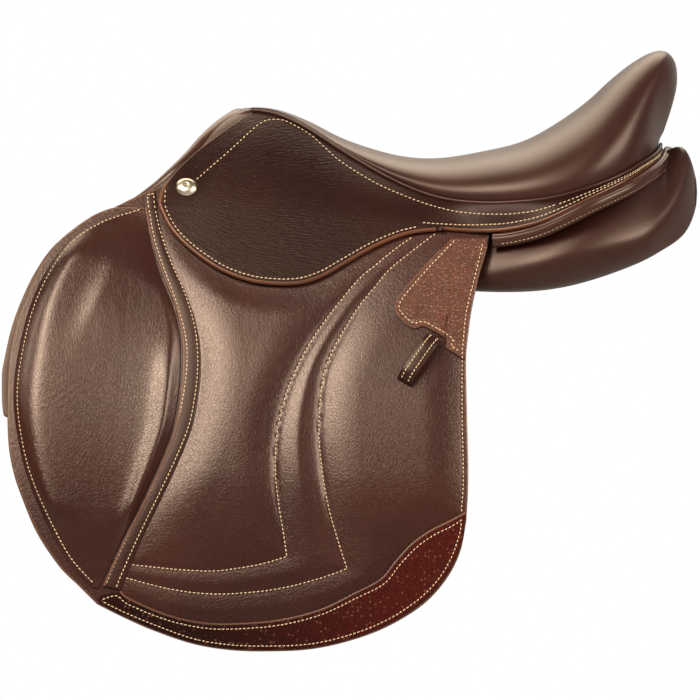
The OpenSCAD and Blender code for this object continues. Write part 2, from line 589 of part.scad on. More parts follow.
module insert_left() color("#54382e")
    grid_solid(insert_grid(rest_gap + insert_rim_t, insert_crown), insert_grid(rest_gap, 0));
module insert_right() right_side() insert_left();

// Flat leather sewn on the flap: outline between two rows of points
module sewn(front_px, back_px, steps)
    layer(concat(smooth(front_px, steps),
            [for (k = [steps : -1 : 0]) along(back_px, k * (len(back_px) - 1) / steps)]),
        flap_out + sewn_gap, flap_out + sewn_gap + trim_t);
// Double-stitched strip behind the insert
strip_front_px = [[146, 209], [152, 238], [163, 273], [176, 305], [183, 334], [184, 362], [182, 394], [175, 433],
    [161, 468], [144, 504], [126, 539], [103, 590]];
strip_rear_px = [[157, 211], [163, 238], [174, 268], [188, 298], [198, 332], [201, 364], [198, 398], [191, 430],
    [176, 467], [158, 505], [141, 540], [119, 598]];
strip_steps = 24;
module strip_left() color("#563a2f") sewn(strip_front_px, strip_rear_px, strip_steps);
module strip_right() right_side() strip_left();
// Grained trim along the hem
trim_top_px = [[107, 599], [131, 601.5], [169, 616], [208, 624], [246, 624], [284, 620], [322, 610], [355, 594],
    [381, 580], [396, 562], [412, 545], [430, 532], [450, 522], [465, 514]];
trim_hem_px = [[108, 606], [128, 616], [157, 628.5], [195, 641.5], [233, 647.5], [271, 648.5], [310, 646.5],
    [347, 638.5], [384, 624.5], [413, 607.5], [436, 587], [452, 564], [462, 537], [465, 518]];
trim_steps = 40;
module trim_left() color("#4c1614") sewn(trim_top_px, trim_hem_px, trim_steps);
module trim_right() right_side() trim_left();
// Grained patch at the upper rear corner, cut away round the keeper
patch_front_px = [[451, 240], [440, 250], [424, 267], [409, 284], [398, 298], [395, 307], [404, 322]];
patch_tip_px = [[415, 327], [425, 325], [447, 339], [446, 347], [464, 359]];
patch_back_px = [[465.5, 350], [467, 335], [471, 307], [478, 275], [486, 248], [487.5, 240]];
patch_steps = 14;
patch_outline = concat(smooth(patch_front_px, patch_steps), patch_tip_px, smooth(patch_back_px, patch_steps));
module patch_left() color("#7a4a38") layer(patch_outline, flap_out + sewn_gap, flap_out + sewn_gap + trim_t);
module patch_right() right_side() patch_left();

// Keeper loop: a raised strap whose ends go into the flap
keeper_px = [419.5, 360.5];
keeper_turn = -57;
keeper_foot_share = 0.86;
keeper_top = keeper_room + keeper_t;
keeper_profile = concat(
    [[-keeper_length / 2, 0], [-keeper_length / 2, keeper_t * 0.4]],
    [[-keeper_length / 2 * keeper_foot_share, keeper_top * 0.8], [-keeper_length / 2 * 0.7, keeper_top],
        [keeper_length / 2 * 0.7, keeper_top], [keeper_length / 2 * keeper_foot_share, keeper_top * 0.8]],
    [[keeper_length / 2, keeper_t * 0.4], [keeper_length / 2, 0]],
    [[keeper_length / 2 * 0.9, 0], [keeper_length / 2 * 0.74, keeper_room * 0.85],
        [keeper_length / 2 * 0.62, keeper_room], [-keeper_length / 2 * 0.62, keeper_room],
        [-keeper_length / 2 * 0.74, keeper_room * 0.85], [-keeper_length / 2 * 0.9, 0]]);
module keeper_left() color("#4a2c20")
    on_leather(flap_out + rest_gap * 2, keeper_px) rotate([0, keeper_turn, 0]) mirror([0, 1, 0])
        translate([0, 0, -keeper_width / 2]) linear_extrude(keeper_width) polygon(keeper_profile);
module keeper_right() right_side() keeper_left();

// Girth straps: three billets a side, which swing on their webs until they meet
billet_px = [[205, 238], [290, 242], [375, 246]];
billet_head = 9;
billet_tip_share = 0.9;
columns_per_mm = span_px[0] / saddle_length;
function billet_outline(which) =
    let (c = billet_px[which], w = billet_width / 2 * columns_per_mm,
        top = c[1] - billet_head * rows_per_mm, shoulder = c[1] + billet_length * billet_tip_share * rows_per_mm,
        tip = c[1] + billet_length * rows_per_mm)
    [[c[0] - w, top], [c[0] + w, top], [c[0] + w, shoulder], [c[0] + w * 0.4, tip], [c[0] - w * 0.4, tip],
        [c[0] - w, shoulder]];
first_hole_share = 0.36;
module billet(which) color("#6b4a35") difference() {
    layer(billet_outline(which), billet_out - billet_t, billet_out);
    for (k = [0 : billet_holes - 1])
        on_leather(billet_out, [billet_px[which][0],
            billet_px[which][1] + (billet_length * first_hole_share + k * billet_hole_step) * rows_per_mm])
            rotate([90, 0, 0]) cylinder(d = billet_hole_d, h = billet_t * 4, center = true, $fn = small_fn);
}
module billet_left_front() billet(0);
module billet_left_middle() billet(1);
module billet_left_rear() billet(2);
module billet_right_front() right_side() billet(0);
module billet_right_middle() right_side() billet(1);
module billet_right_rear() right_side() billet(2);
// Webs that carry the billets, sewn to the head of the sweat flap
web_width_share = 1.2;
web_drop_share = 0.35;
module girth_web(which) {
    c = billet_px[which];
    w = billet_width * web_width_share / 2 * columns_per_mm;
    layer([[c[0] - w, c[1] - web_length * (1 - web_drop_share) * rows_per_mm],
        [c[0] + w, c[1] - web_length * (1 - web_drop_share) * rows_per_mm],
        [c[0] + w, c[1] + web_length * web_drop_share * rows_per_mm],
        [c[0] - w, c[1] + web_length * web_drop_share * rows_per_mm]], web_out - web_t, web_out);
}
module girth_webs_left() color("#cfc4a4") for (which = [0 : 2]) girth_web(which);
module girth_webs_right() right_side() girth_webs_left();

// Head plate: steel arch under the head of the tree, with a leg for each stirrup bar
head_plate_px = 240;
head_legs_px = [174, 206];
head_arch_shares = [[0, 1], [0.5, 0.94], [0.86, 0.72], [1, 0.45]];
head_arch_px = 138;
head_top = sz(head_arch_px);
head_foot = sz(head_legs_px[1]);
arch_steps = 12;
function arch(half, top) =
    let (left = [for (p = smooth(head_arch_shares, arch_steps)) [-p[0] * half, head_foot + p[1] * (top - head_foot)]])
    concat([[-half, head_foot]], [for (k = [arch_steps : -1 : 0]) left[k]],
        [for (k = [1 : arch_steps]) [-left[k][0], left[k][1]]], [[half, head_foot]]);
head_plate_x = sx(head_plate_px);
head_plate_length = saddle_length * head_plate_share;
bar_rivet_z = (sz(head_legs_px[0]) + head_foot) / 2;
// The legs stand as far out as the bars' room under the skirt lets them, and never closer than a narrow arch
head_leg_least = 12;
head_leg_y = max(head_leg_least, -y_on(flap_radius - skirt_t, bar_rivet_z) - bar_clear - bar_t - bar_room
    - bar_plate_t - sewn_gap - head_plate_t);
rivet_step = head_plate_length * 0.5;
rivet_x = head_plate_x + head_plate_length * 0.5;
module head_plate() color("#8d9095") difference() {
    translate([head_plate_x, 0, 0]) rotate([90, 0, 90]) linear_extrude(head_plate_length) difference() {
        polygon(arch(head_leg_y + head_plate_t, head_top + head_plate_t));
        translate([0, -overrun]) polygon(arch(head_leg_y, head_top));
    }
    rivet_bores();
}
module rivet_bores() for (k = [-1, 1]) translate([rivet_x + k * rivet_step / 2, 0, bar_rivet_z])
    rotate([90, 0, 0]) cylinder(d = rivet_d + pin_gap * 2, h = half_width, center = true, $fn = small_fn);

// Stirrup bar: a plate riveted to the head plate, a neck, and the bar that the leather hangs on
bar_plate_height = 20;
bar_plate_y = head_leg_y + head_plate_t + sewn_gap;
bar_in = bar_plate_y + bar_plate_t + bar_room;
bar_neck_length = 12;
bar_end = head_plate_x + bar_length;
fork_rest = 1.5;
fork_depth = bar_height / 2 + fork_rest;
catch_x = bar_end - bar_height / 2;
module bar_profile() {
    square([bar_t, bar_height - bar_t], center = true);
    for (k = [-1, 1]) translate([0, k * (bar_height - bar_t) / 2]) circle(d = bar_t, $fn = small_fn);
}
module stirrup_bar_left() color("#b9bcc0") difference() {
    union() {
        translate([head_plate_x, -bar_plate_y - bar_plate_t, bar_rivet_z - bar_plate_height / 2])
            cube([head_plate_length, bar_plate_t, bar_plate_height]);
        translate([head_plate_x, -bar_in - bar_t / 2, bar_rivet_z - bar_height / 2])
            cube([bar_neck_length, bar_t / 2 + bar_room + bar_plate_t / 2, bar_height]);
        translate([head_plate_x, -bar_in - bar_t / 2, bar_rivet_z]) rotate([90, 0, 90])
            linear_extrude(bar_length) bar_profile();
    }
    rivet_bores();
    translate([catch_x - fork_depth, -bar_in - bar_t / 2 - catch_t / 2 - rest_gap, bar_rivet_z - bar_height])
        cube([bar_height * 2, catch_t + rest_gap * 2, bar_height * 2]);
    catch_bore(catch_pin_d + pin_gap * 2);
}
module catch_bore(d) translate([catch_x, -bar_in - bar_t / 2, bar_rivet_z]) rotate([90, 0, 0])
    cylinder(d = d, h = bar_t * 1.5, center = true, $fn = small_fn);
module stirrup_bar_right() right_side() stirrup_bar_left();
// Catch: a small lever in the fork of the bar's end
module bar_catch_left() color("#a3a6aa") translate([catch_x, -bar_in - bar_t / 2, bar_rivet_z]) difference() {
    union() {
        rotate([90, 0, 0]) cylinder(d = bar_height * 0.8, h = catch_t, center = true, $fn = small_fn);
        translate([0, -catch_t / 2, -bar_height * 0.3]) cube([catch_length, catch_t, bar_height * 0.6]);
    }
    rotate([90, 0, 0]) cylinder(d = catch_pin_d + pin_gap * 2, h = catch_t * 2, center = true, $fn = small_fn);
}
module bar_catch_right() right_side() bar_catch_left();
module catch_pin() translate([catch_x, -bar_in - bar_t / 2, bar_rivet_z]) rotate([90, 0, 0])
    cylinder(d = catch_pin_d, h = bar_t, center = true, $fn = small_fn);
module catch_pins() color("#d0d2d4") {
    catch_pin();
    right_side() catch_pin();
}
// Rivets through plate and leg, with a flat head inside
rivet_head_t = 1.5;
rivet_head_d = rivet_d * 1.7;
module rivet_pair() for (k = [-1, 1])
    translate([rivet_x + k * rivet_step / 2, -head_leg_y, bar_rivet_z]) rotate([90, 0, 0]) {
        cylinder(d = rivet_d, h = bar_plate_y + bar_plate_t - head_leg_y, $fn = small_fn);
        translate([0, 0, -rivet_head_t]) cylinder(d = rivet_head_d, h = rivet_head_t, $fn = small_fn);
    }
module bar_rivets() color("#8d9095") {
    rivet_pair();
    right_side() rivet_pair();
}

seat_cover();
seat_welt();
seat_foam();
seat_web();
tree_head();
tree_rail_left();
tree_rail_right();
tree_cantle();
tree_springs();
head_plate();
pommel_roll();
rear_band();
skirt_yoke_left();
skirt_yoke_right();
skirt_left();
skirt_right();
skirt_edge_left();
skirt_edge_right();
tail_edge_left();
tail_edge_right();
saddle_nails();
panel_left();
panel_right();
sweat_flap_left();
sweat_flap_right();
knee_block_left();
knee_block_right();
thigh_block_left();
thigh_block_right();
flap_top_left();
flap_top_right();
flap_left();
flap_right();
insert_left();
insert_right();
strip_left();
strip_right();
trim_left();
trim_right();
patch_left();
patch_right();
keeper_left();
keeper_right();
girth_webs_left();
girth_webs_right();
billet_left_front();
billet_left_middle();
billet_left_rear();
billet_right_front();
billet_right_middle();
billet_right_rear();
stirrup_bar_left();
stirrup_bar_right();
bar_catch_left();
bar_catch_right();
catch_pins();
bar_rivets();
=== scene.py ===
# %% [markdown]
# # A jumping saddle in leather
# The saddle's frame comes first: wooden tree, steel fittings and the bodies that move. Every leather piece
# is then modelled on that frame, in metres, and rides on the body that carries it on the real saddle.

# %% Load the frame
import math
import bpy
import numpy as np
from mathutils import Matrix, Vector
from mathutils.bvhtree import BVHTree


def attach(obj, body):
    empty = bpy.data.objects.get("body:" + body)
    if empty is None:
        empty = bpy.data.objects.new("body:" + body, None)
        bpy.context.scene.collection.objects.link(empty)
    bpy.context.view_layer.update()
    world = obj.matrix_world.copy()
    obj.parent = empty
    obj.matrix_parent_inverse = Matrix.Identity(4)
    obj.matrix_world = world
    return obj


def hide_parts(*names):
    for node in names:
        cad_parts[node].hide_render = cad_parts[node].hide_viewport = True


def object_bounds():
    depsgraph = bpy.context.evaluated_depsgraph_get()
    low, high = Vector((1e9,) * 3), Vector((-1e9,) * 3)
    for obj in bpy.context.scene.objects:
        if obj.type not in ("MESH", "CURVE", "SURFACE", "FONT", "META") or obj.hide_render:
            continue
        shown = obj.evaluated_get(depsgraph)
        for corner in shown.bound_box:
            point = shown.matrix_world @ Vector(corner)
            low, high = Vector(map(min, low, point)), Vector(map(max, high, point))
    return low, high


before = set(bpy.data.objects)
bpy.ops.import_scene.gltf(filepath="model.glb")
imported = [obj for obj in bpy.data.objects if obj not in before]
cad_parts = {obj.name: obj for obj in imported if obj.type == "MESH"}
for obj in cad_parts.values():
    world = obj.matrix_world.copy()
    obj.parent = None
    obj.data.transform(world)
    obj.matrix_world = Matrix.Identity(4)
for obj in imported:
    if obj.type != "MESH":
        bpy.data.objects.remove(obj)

cad_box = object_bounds()
scene = bpy.context.scene
scene.view_settings.view_transform = "Standard"
bpy.ops.object.select_all(action="DESELECT")

# %% [markdown]
# ## The side view as a drawing board
# A saddle is cut from patterns, and a pattern is drawn from the side. All outlines below are columns and rows
# of the reference picture, and these helpers turn them into millimetres: x from the column, z from the row.
# Flap, skirt and sweat flap hang on one large cylinder that lies along the saddle, layer upon layer, so the
# missing depth comes from the layer's radius.

# %% Drawing board
LENGTH, HEIGHT, HALF_WIDTH, SKIRT_R = 612.0, 529.0, 250.0, 900.0
COLUMNS, ROWS, COLUMN_0, ROW_0, HEM_ROW = 695, 601, 350, 290, 650
HEM_LEAN = math.radians(5)
PX_X, PX_Z = LENGTH / COLUMNS, HEIGHT / ROWS


def sx(column):
    """Millimetres along the saddle from a picture column."""
    return (np.asarray(column, float) - COLUMN_0) * PX_X


def sz(row):
    """Millimetres of height from a picture row."""
    return (ROW_0 - np.asarray(row, float)) * PX_Z


def side_view(points):
    """Columns and rows of points given in millimetres."""
    points = np.asarray(points, float)
    return np.stack([points[..., 0] / PX_X + COLUMN_0, ROW_0 - points[..., 2] / PX_Z], -1)


AXIS_Z = float(sz(HEM_ROW)) - SKIRT_R * math.sin(HEM_LEAN)
AXIS_Y = -HALF_WIDTH + SKIRT_R * math.cos(HEM_LEAN)
SKIRT_T, FLAP_T, SWEAT_T, BILLET_T = 4.0, 4.5, 3.5, 3.2
UNDER_SKIRT, UNDER_FLAP = 1.2, 12.8
FLAP_OUT = SKIRT_R - SKIRT_T - UNDER_SKIRT
FLAP_IN = FLAP_OUT - FLAP_T
SWEAT_OUT = FLAP_IN - UNDER_FLAP
SWEAT_IN = SWEAT_OUT - SWEAT_T


def on_shell(r, px):
    """Points of the side view, laid on the leather's cylinder of radius r."""
    px = np.asarray(px, float)
    x, z = sx(px[..., 0]), sz(px[..., 1])
    return np.stack([x, AXIS_Y - np.sqrt(r * r - (z - AXIS_Z) ** 2), z], -1)


print("one picture column is %.3f mm" % PX_X)

# %% Curves and nets
def between(a, b, c, d, f):
    """Smooth curve from b to c, at the share f of the way, with a before it and d after it."""
    bend, twist = 2 * a - 5 * b + 4 * c - d, 3 * b - a - 3 * c + d
    return (2 * b + (c - a) * f + bend * f ** 2 + twist * f ** 3) / 2


def along(points, u):
    """Smooth curve through given points; u counts the points."""
    p = np.asarray(points, float)
    u = np.asarray(u, float)
    last = len(p) - 1
    i = np.clip(np.floor(u).astype(int), 0, last - 1)
    f = (u - i).reshape(u.shape + (1,) * (p.ndim - 1))
    return between(p[np.maximum(i - 1, 0)], p[i], p[i + 1], p[np.minimum(i + 2, last)], f)


def even(points, count):
    """The same curve with evenly spaced points."""
    dense = along(points, np.linspace(0, len(points) - 1, 24 * len(points)))
    run = np.concatenate([[0], np.cumsum(np.linalg.norm(np.diff(dense, axis=0), axis=1))])
    at = np.linspace(0, run[-1], count)
    return np.stack([np.interp(at, run, dense[:, k]) for k in range(dense.shape[1])], -1)


def line_distance(px, line):
    """Distance in millimetres from side-view points to a drawn line."""
    q = np.asarray(px, float) * [PX_X, PX_Z]
    p = even(line, 6 * len(line)) * [PX_X, PX_Z]
    flat = q.reshape(-1, 2)
    best = np.full(len(flat), 1e9)
    for a, b in zip(p[:-1], p[1:]):
        s = b - a
        t = np.clip(((flat - a) @ s) / max(s @ s, 1e-9), 0, 1)
        best = np.minimum(best, np.linalg.norm(flat - a - t[:, None] * s, axis=1))
    return best.reshape(q.shape[:-1])


def patch(top, bottom, left, right, across, down):
    """Net of points inside four border curves."""
    t, b = even(top, across + 1)[:, None], even(bottom, across + 1)[:, None]
    le, r = even(left, down + 1)[None], even(right, down + 1)[None]
    u = np.linspace(0, 1, across + 1)[:, None, None]
    v = np.linspace(0, 1, down + 1)[None, :, None]
    corners = (1 - u) * (1 - v) * t[0, 0] + u * (1 - v) * t[-1, 0] + (1 - u) * v * b[0, 0] + u * v * b[-1, 0]
    return (1 - v) * t + v * b + (1 - u) * le + u * r - corners


def settle_net(net, rounds):
    """Draws the inner points of a net to the middle of their neighbours, so that no cell folds over."""
    for _ in range(rounds):
        net[1:-1, 1:-1] = (net[:-2, 1:-1] + net[2:, 1:-1] + net[1:-1, :-2] + net[1:-1, 2:]) / 4


def net_between(front, back, count, across):
    """Net of points between two drawn edges, and the share of the way across it."""
    w = np.linspace(0, 1, across + 1)[:, None, None]
    return even(front, count)[None] * (1 - w) + even(back, count)[None] * w, w[..., 0]


def ease(x, low, high):
    """0 below low, 1 above high, and a soft step between them."""
    s = np.clip((np.asarray(x, float) - low) / (high - low), 0, 1)
    return s * s * (3 - 2 * s)


def unit(v):
    """Directions of length one."""
    return v / np.maximum(np.linalg.norm(v, axis=-1, keepdims=True), 1e-9)


print("curve and net helpers ready")

# %% [markdown]
# ## Leather as Blender objects
# Each sheet starts as a grid primitive, whose points are then laid where the pattern says. Solidify gives the
# leather its thickness and Bevel breaks its cut edges, as an edge tool does on the bench. The right side is the
# left one mirrored, and a mirrored mesh has to have its faces turned round again.

# %% Choosing, shading and placing
MM = 1000
OUTWARD_HINT = np.array([0.0, -1.0, 0.25])
CUT_ANGLE = math.radians(55)
MERGE_WITHIN = 2e-5


def choose(*objs):
    """Selects these objects alone and makes the first one active."""
    bpy.ops.object.select_all(action="DESELECT")
    for obj in objs:
        obj.select_set(True)
    bpy.context.view_layer.objects.active = objs[0]


def apply_all(obj):
    """Applies the modifiers of an object in their order."""
    choose(obj)
    for m in list(obj.modifiers):
        bpy.ops.object.modifier_apply(modifier=m.name)


def smooth_by_angle(obj, degrees=40):
    """Smooth shading that keeps edges sharper than the angle."""
    choose(obj)
    bpy.ops.object.shade_smooth_by_angle(angle=math.radians(degrees))
    obj.select_set(False)


def new_object(name, data):
    """A new object in the scene."""
    obj = bpy.data.objects.new(name, data)
    scene.collection.objects.link(obj)
    return obj


def place_points(obj, points):
    """Lays the points of a mesh, given in metres."""
    obj.data.vertices.foreach_set("co", points.astype(np.float32).ravel())
    obj.data.update()


def grid_object(name, points):
    """A grid primitive whose points are laid on a net, given in millimetres."""
    n, m = points.shape[0] - 1, points.shape[1] - 1
    bpy.ops.object.select_all(action="DESELECT")
    bpy.ops.mesh.primitive_grid_add(x_subdivisions=n, y_subdivisions=m, size=1, location=(0, 0, 0))
    obj = bpy.context.object
    obj.name = obj.data.name = name
    place_points(obj, np.transpose(points, (1, 0, 2)).reshape(-1, 3) / MM)
    return obj


def points_of(obj):
    """Points of a mesh, in metres."""
    co = np.empty(len(obj.data.vertices) * 3, np.float32)
    obj.data.vertices.foreach_get("co", co)
    return co.reshape(-1, 3)


print("object helpers ready")

# %% Faces and edges
def turn_faces_out(obj):
    """Makes all faces of a closed mesh look outwards."""
    choose(obj)
    bpy.ops.object.mode_set(mode="EDIT")
    bpy.ops.mesh.select_all(action="SELECT")
    bpy.ops.mesh.normals_make_consistent(inside=False)
    bpy.ops.object.mode_set(mode="OBJECT")
    obj.select_set(False)


def merge_points(obj):
    """Joins points that lie on each other, such as those of a ring's seam."""
    choose(obj)
    bpy.ops.object.mode_set(mode="EDIT")
    bpy.ops.mesh.select_all(action="SELECT")
    bpy.ops.mesh.remove_doubles(threshold=MERGE_WITHIN)
    bpy.ops.object.mode_set(mode="OBJECT")
    obj.select_set(False)


def bevel_edges(obj, width, left_sharp):
    """Bevels the cut edges, apart from those whose middle the test leaves sharp."""
    choose(obj)
    bpy.ops.object.mode_set(mode="EDIT")
    bpy.ops.mesh.select_mode(type="EDGE")
    bpy.ops.mesh.select_all(action="DESELECT")
    bpy.ops.mesh.edges_select_sharp(sharpness=CUT_ANGLE)
    bpy.ops.object.mode_set(mode="OBJECT")
    points = obj.data.vertices
    for e in obj.data.edges:
        a, b = e.vertices
        if e.select and left_sharp((points[a].co + points[b].co) * MM / 2):
            e.select = False
    bpy.ops.object.mode_set(mode="EDIT")
    bpy.ops.mesh.bevel(offset=width / MM, segments=2)
    bpy.ops.mesh.select_mode(type="VERT")
    bpy.ops.object.mode_set(mode="OBJECT")


print("mesh helpers ready")

# %% Sheets and rolls
def leather_sheet(name, points, thickness, edge=0.7, inner=None):
    """Sheet of leather: the net is its outer face, and it is as thick as given, inwards."""
    obj = grid_object(name, points)
    mid = points.shape[0] // 2, points.shape[1] // 2
    across = points[mid[0] + 1, mid[1]] - points[mid[0], mid[1]]
    down = points[mid[0], mid[1] + 1] - points[mid[0], mid[1]]
    outward = np.cross(across, down)
    if np.dot(outward, OUTWARD_HINT if inner is None else inner) < 0:
        obj.data.flip_normals()
    skin = obj.modifiers.new("leather", "SOLIDIFY")
    skin.thickness = thickness / MM
    skin.offset = -1
    skin.use_even_offset = False
    if edge:
        rim = obj.modifiers.new("edge", "BEVEL")
        rim.width = edge / MM
        rim.segments = 3 if edge > 1 else 2
        rim.limit_method = "ANGLE"
        rim.angle_limit = CUT_ANGLE
    apply_all(obj)
    smooth_by_angle(obj)
    return obj


def tube(name, path, radii, sides, flat=(1.0, 1.0), side_hint=(0.0, 0.0, 1.0)):
    """Closed roll of leather along a path. flat squeezes it along its two cross directions."""
    path = np.asarray(path, float)
    run = unit(np.gradient(path, axis=0))
    hint = np.asarray(side_hint, float)
    b = unit(hint - run * (run @ hint)[:, None])
    n = np.cross(run, b)
    radii = np.broadcast_to(np.asarray(radii, float), (len(path),))
    a = np.linspace(0, 2 * math.pi, sides + 1)
    ring = path[:, None] + radii[:, None, None] * (
        np.cos(a)[None, :, None] * n[:, None] * flat[0] + np.sin(a)[None, :, None] * b[:, None] * flat[1])
    obj = grid_object(name, ring)
    merge_points(obj)
    choose(obj)
    bpy.ops.object.mode_set(mode="EDIT")
    bpy.ops.mesh.select_all(action="DESELECT")
    bpy.ops.mesh.select_non_manifold()
    bpy.ops.mesh.edge_face_add()
    bpy.ops.object.mode_set(mode="OBJECT")
    turn_faces_out(obj)
    smooth_by_angle(obj, 60)
    return obj


print("sheet and roll helpers ready")

# %% Right copies and finished pieces
pieces = {}
MIRROR = np.array([1, -1, 1])


def right_copy(obj, name):
    """Mirror image of a left piece on the right side, with a mesh of its own."""
    twin = new_object(name, obj.data.copy())
    twin.data.name = name
    place_points(twin, points_of(obj) * MIRROR)
    twin.data.flip_normals()
    twin.data.update()
    return twin


def finish_piece(obj, body, material, replaced=()):
    """Gives a piece its material, the body it rides on and the frame's solids that it stands for."""
    obj.data.materials.clear()
    obj.data.materials.append(material)
    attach(obj, body)
    if replaced:
        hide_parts(*replaced)
    pieces[obj.name] = obj


def both_sides(obj, stem, body, material, replaced=(), declare=None):
    """Finishes a left piece, and its mirror image on the right. SIDE in a name stands for left or right."""
    twin = right_copy(obj, stem.replace("SIDE", "right"))
    for piece, side in ((obj, "left"), (twin, "right")):
        finish_piece(piece, body.replace("SIDE", side), material, [n.replace("SIDE", side) for n in replaced])
        if declare:
            declare(piece)


print("copy and finish helpers ready")

# %% [markdown]
# ## Finishes
# Vegetable-tanned leather has three scales of detail: clouds of tone from the dye, a net of fine creases, and
# pores. One node group makes all three from the object's own coordinates, so that pattern and piece keep together.
# Pebbled leather is embossed instead: round grains with valleys darkened as painted shade, and pale dots painted on
# as glints of light.

# %% Short hand for node trees
def node_group(name, vectors, numbers, outputs):
    """A group with vector inputs, number inputs with their usual values, and number outputs."""
    group = bpy.data.node_groups.new(name, "ShaderNodeTree")
    for label in vectors:
        group.interface.new_socket(name=label, in_out="INPUT", socket_type="NodeSocketVector")
    for label, value in numbers.items():
        group.interface.new_socket(name=label, in_out="INPUT", socket_type="NodeSocketFloat").default_value = value
    for label in outputs:
        group.interface.new_socket(name=label, in_out="OUTPUT", socket_type="NodeSocketFloat")
    return group, group.nodes.new("NodeGroupInput"), group.nodes.new("NodeGroupOutput")


class Graph:
    """Short hand for building a node tree."""

    def __init__(self, tree):
        self.tree = tree

    def put(self, socket, value):
        if isinstance(value, bpy.types.NodeSocket):
            self.tree.links.new(value, socket)
        elif value is not None:
            socket.default_value = value

    def add(self, kind, values=None, **settings):
        node = self.tree.nodes.new(kind)
        for key, value in settings.items():
            setattr(node, key, value)
        for key, value in (values or {}).items():
            self.put(node.inputs[key], value)
        return node

    def math(self, operation, a, b=None, c=None):
        node = self.add("ShaderNodeMath", operation=operation)
        for k, value in enumerate((a, b, c)):
            self.put(node.inputs[k], value)
        return node.outputs[0]

    def vector(self, operation, a, b):
        return self.add("ShaderNodeVectorMath", {0: a, 1: b}, operation=operation).outputs[0]

    def noise(self, vector, scale, detail=2.0, rough=0.5):
        values = {"Vector": vector, "Scale": scale, "Detail": detail, "Roughness": rough}
        return self.add("ShaderNodeTexNoise", values).outputs["Fac"]

    def cells(self, vector, scale):
        """Distance to the borders of a net of cells."""
        values = {"Vector": vector, "Scale": scale}
        return self.add("ShaderNodeTexVoronoi", values, feature="DISTANCE_TO_EDGE").outputs["Distance"]

    def ramp(self, value, low, high):
        values = {"Value": value, "From Min": low, "From Max": high}
        return self.add("ShaderNodeMapRange", values, interpolation_type="SMOOTHSTEP").outputs[0]

    def mix(self, factor, a, b):
        node = self.add("ShaderNodeMix", data_type="RGBA")
        for socket, value in zip((node.inputs[0], node.inputs[6], node.inputs[7]), (factor, a, b)):
            self.put(socket, value)
        return node.outputs[2]

    def warped(self, place, scale, amount):
        """The place, shaken by a soft noise so that no net of cells looks ruled."""
        shake = self.add("ShaderNodeTexNoise", {"Vector": place, "Scale": scale, "Detail": 1.0}).outputs["Color"]
        return self.vector("ADD", place, self.vector("MULTIPLY", shake, (amount, amount, amount)))


print("short hand ready")

# %% Leather grain as a node group
def make_grain_group():
    """Pores, a net of fine creases and clouds of tone."""
    group, source, sink = node_group("leather grain", ["Vector"], {"Pore size": 900.0, "Crease": 0.5},
                                     ["Height", "Clouds", "Creases"])
    g = Graph(group)
    place, pore = source.outputs["Vector"], source.outputs["Pore size"]
    net = g.cells(g.warped(place, 160.0, 0.006), g.math("MULTIPLY", pore, 0.62))
    creases = g.math("SUBTRACT", 1.0, g.ramp(net, 0.0, 0.16))
    pores = g.math("MULTIPLY", g.noise(place, pore, 3.0, 0.6), 0.45)
    height = g.math("SUBTRACT", pores, g.math("MULTIPLY", creases, source.outputs["Crease"]))
    clouds = g.noise(place, 9.0, 3.0, 0.55)
    for label, value in (("Height", height), ("Clouds", clouds), ("Creases", creases)):
        group.links.new(value, sink.inputs[label])
    return group


GRAIN = make_grain_group()
print("grain group ready")

# %% Pebbles and wrinkles
def make_pebble_group():
    """Round grains, the valleys between them, pale dots that stand for glints of light, and clouds of tone."""
    group, source, sink = node_group("pebbled grain", ["Vector"], {"Grains": 420.0, "Glint net": 270.0},
                                     ["Height", "Valleys", "Painted glints", "Clouds"])
    g = Graph(group)
    place, grains = source.outputs["Vector"], source.outputs["Grains"]
    grain = g.ramp(g.cells(g.warped(place, 260.0, 0.003), grains), 0.0, 0.32)
    spots = {"Vector": place, "Scale": source.outputs["Glint net"], "Randomness": 0.75}
    # Painted highlight: pale dots scattered at random stand for glints of light on the grain.
    dots = g.add("ShaderNodeTexVoronoi", spots, feature="F1")
    chance = g.add("ShaderNodeSeparateColor", {"Color": dots.outputs["Color"]}).outputs[0]
    core = g.math("SUBTRACT", 1.0, g.ramp(dots.outputs["Distance"], 0.14, 0.36))
    glints = g.math("MULTIPLY", g.ramp(chance, 0.1, 0.6), core)
    valleys, clouds = g.math("SUBTRACT", 1.0, grain), g.noise(place, 14.0, 3.0, 0.55)
    for label, value in (("Height", grain), ("Valleys", valleys), ("Painted glints", glints), ("Clouds", clouds)):
        group.links.new(value, sink.inputs[label])
    return group


def make_wrinkle_group():
    """Fine wrinkles that spread from a point of the side view and flow into level lines behind it."""
    group, source, sink = node_group("drawn wrinkles", ["Vector", "From"], {}, ["Height"])
    g = Graph(group)
    away = g.vector("SUBTRACT", g.warped(source.outputs["Vector"], 40.0, 0.002), source.outputs["From"])
    split = g.add("ShaderNodeSeparateXYZ", {"Vector": away})
    dx, dz = (g.math("MULTIPLY", split.outputs[k], 1000.0) for k in (0, 2))
    reach = g.math("SQRT", g.math("ADD", g.math("MULTIPLY", dx, dx), g.math("MULTIPLY", dz, dz)))
    angle = g.math("ARCTAN2", dz, dx)
    across = g.math("MULTIPLY", angle, g.math("MULTIPLY_ADD", reach, 0.5, 14.0))
    streak = g.add("ShaderNodeCombineXYZ", {0: across, 1: g.math("MULTIPLY", reach, 0.11)}).outputs[0]
    folds = g.noise(streak, 1.0, 2.0, 0.55)
    fade = g.math("MULTIPLY", g.ramp(reach, 6.0, 26.0), g.math("SUBTRACT", 1.0, g.ramp(reach, 90.0, 250.0)))
    group.links.new(g.math("MULTIPLY", g.math("SUBTRACT", folds, 0.5), fade), sink.inputs["Height"])
    return group


PEBBLE, WRINKLES = make_pebble_group(), make_wrinkle_group()
print("pebble and wrinkle groups ready")

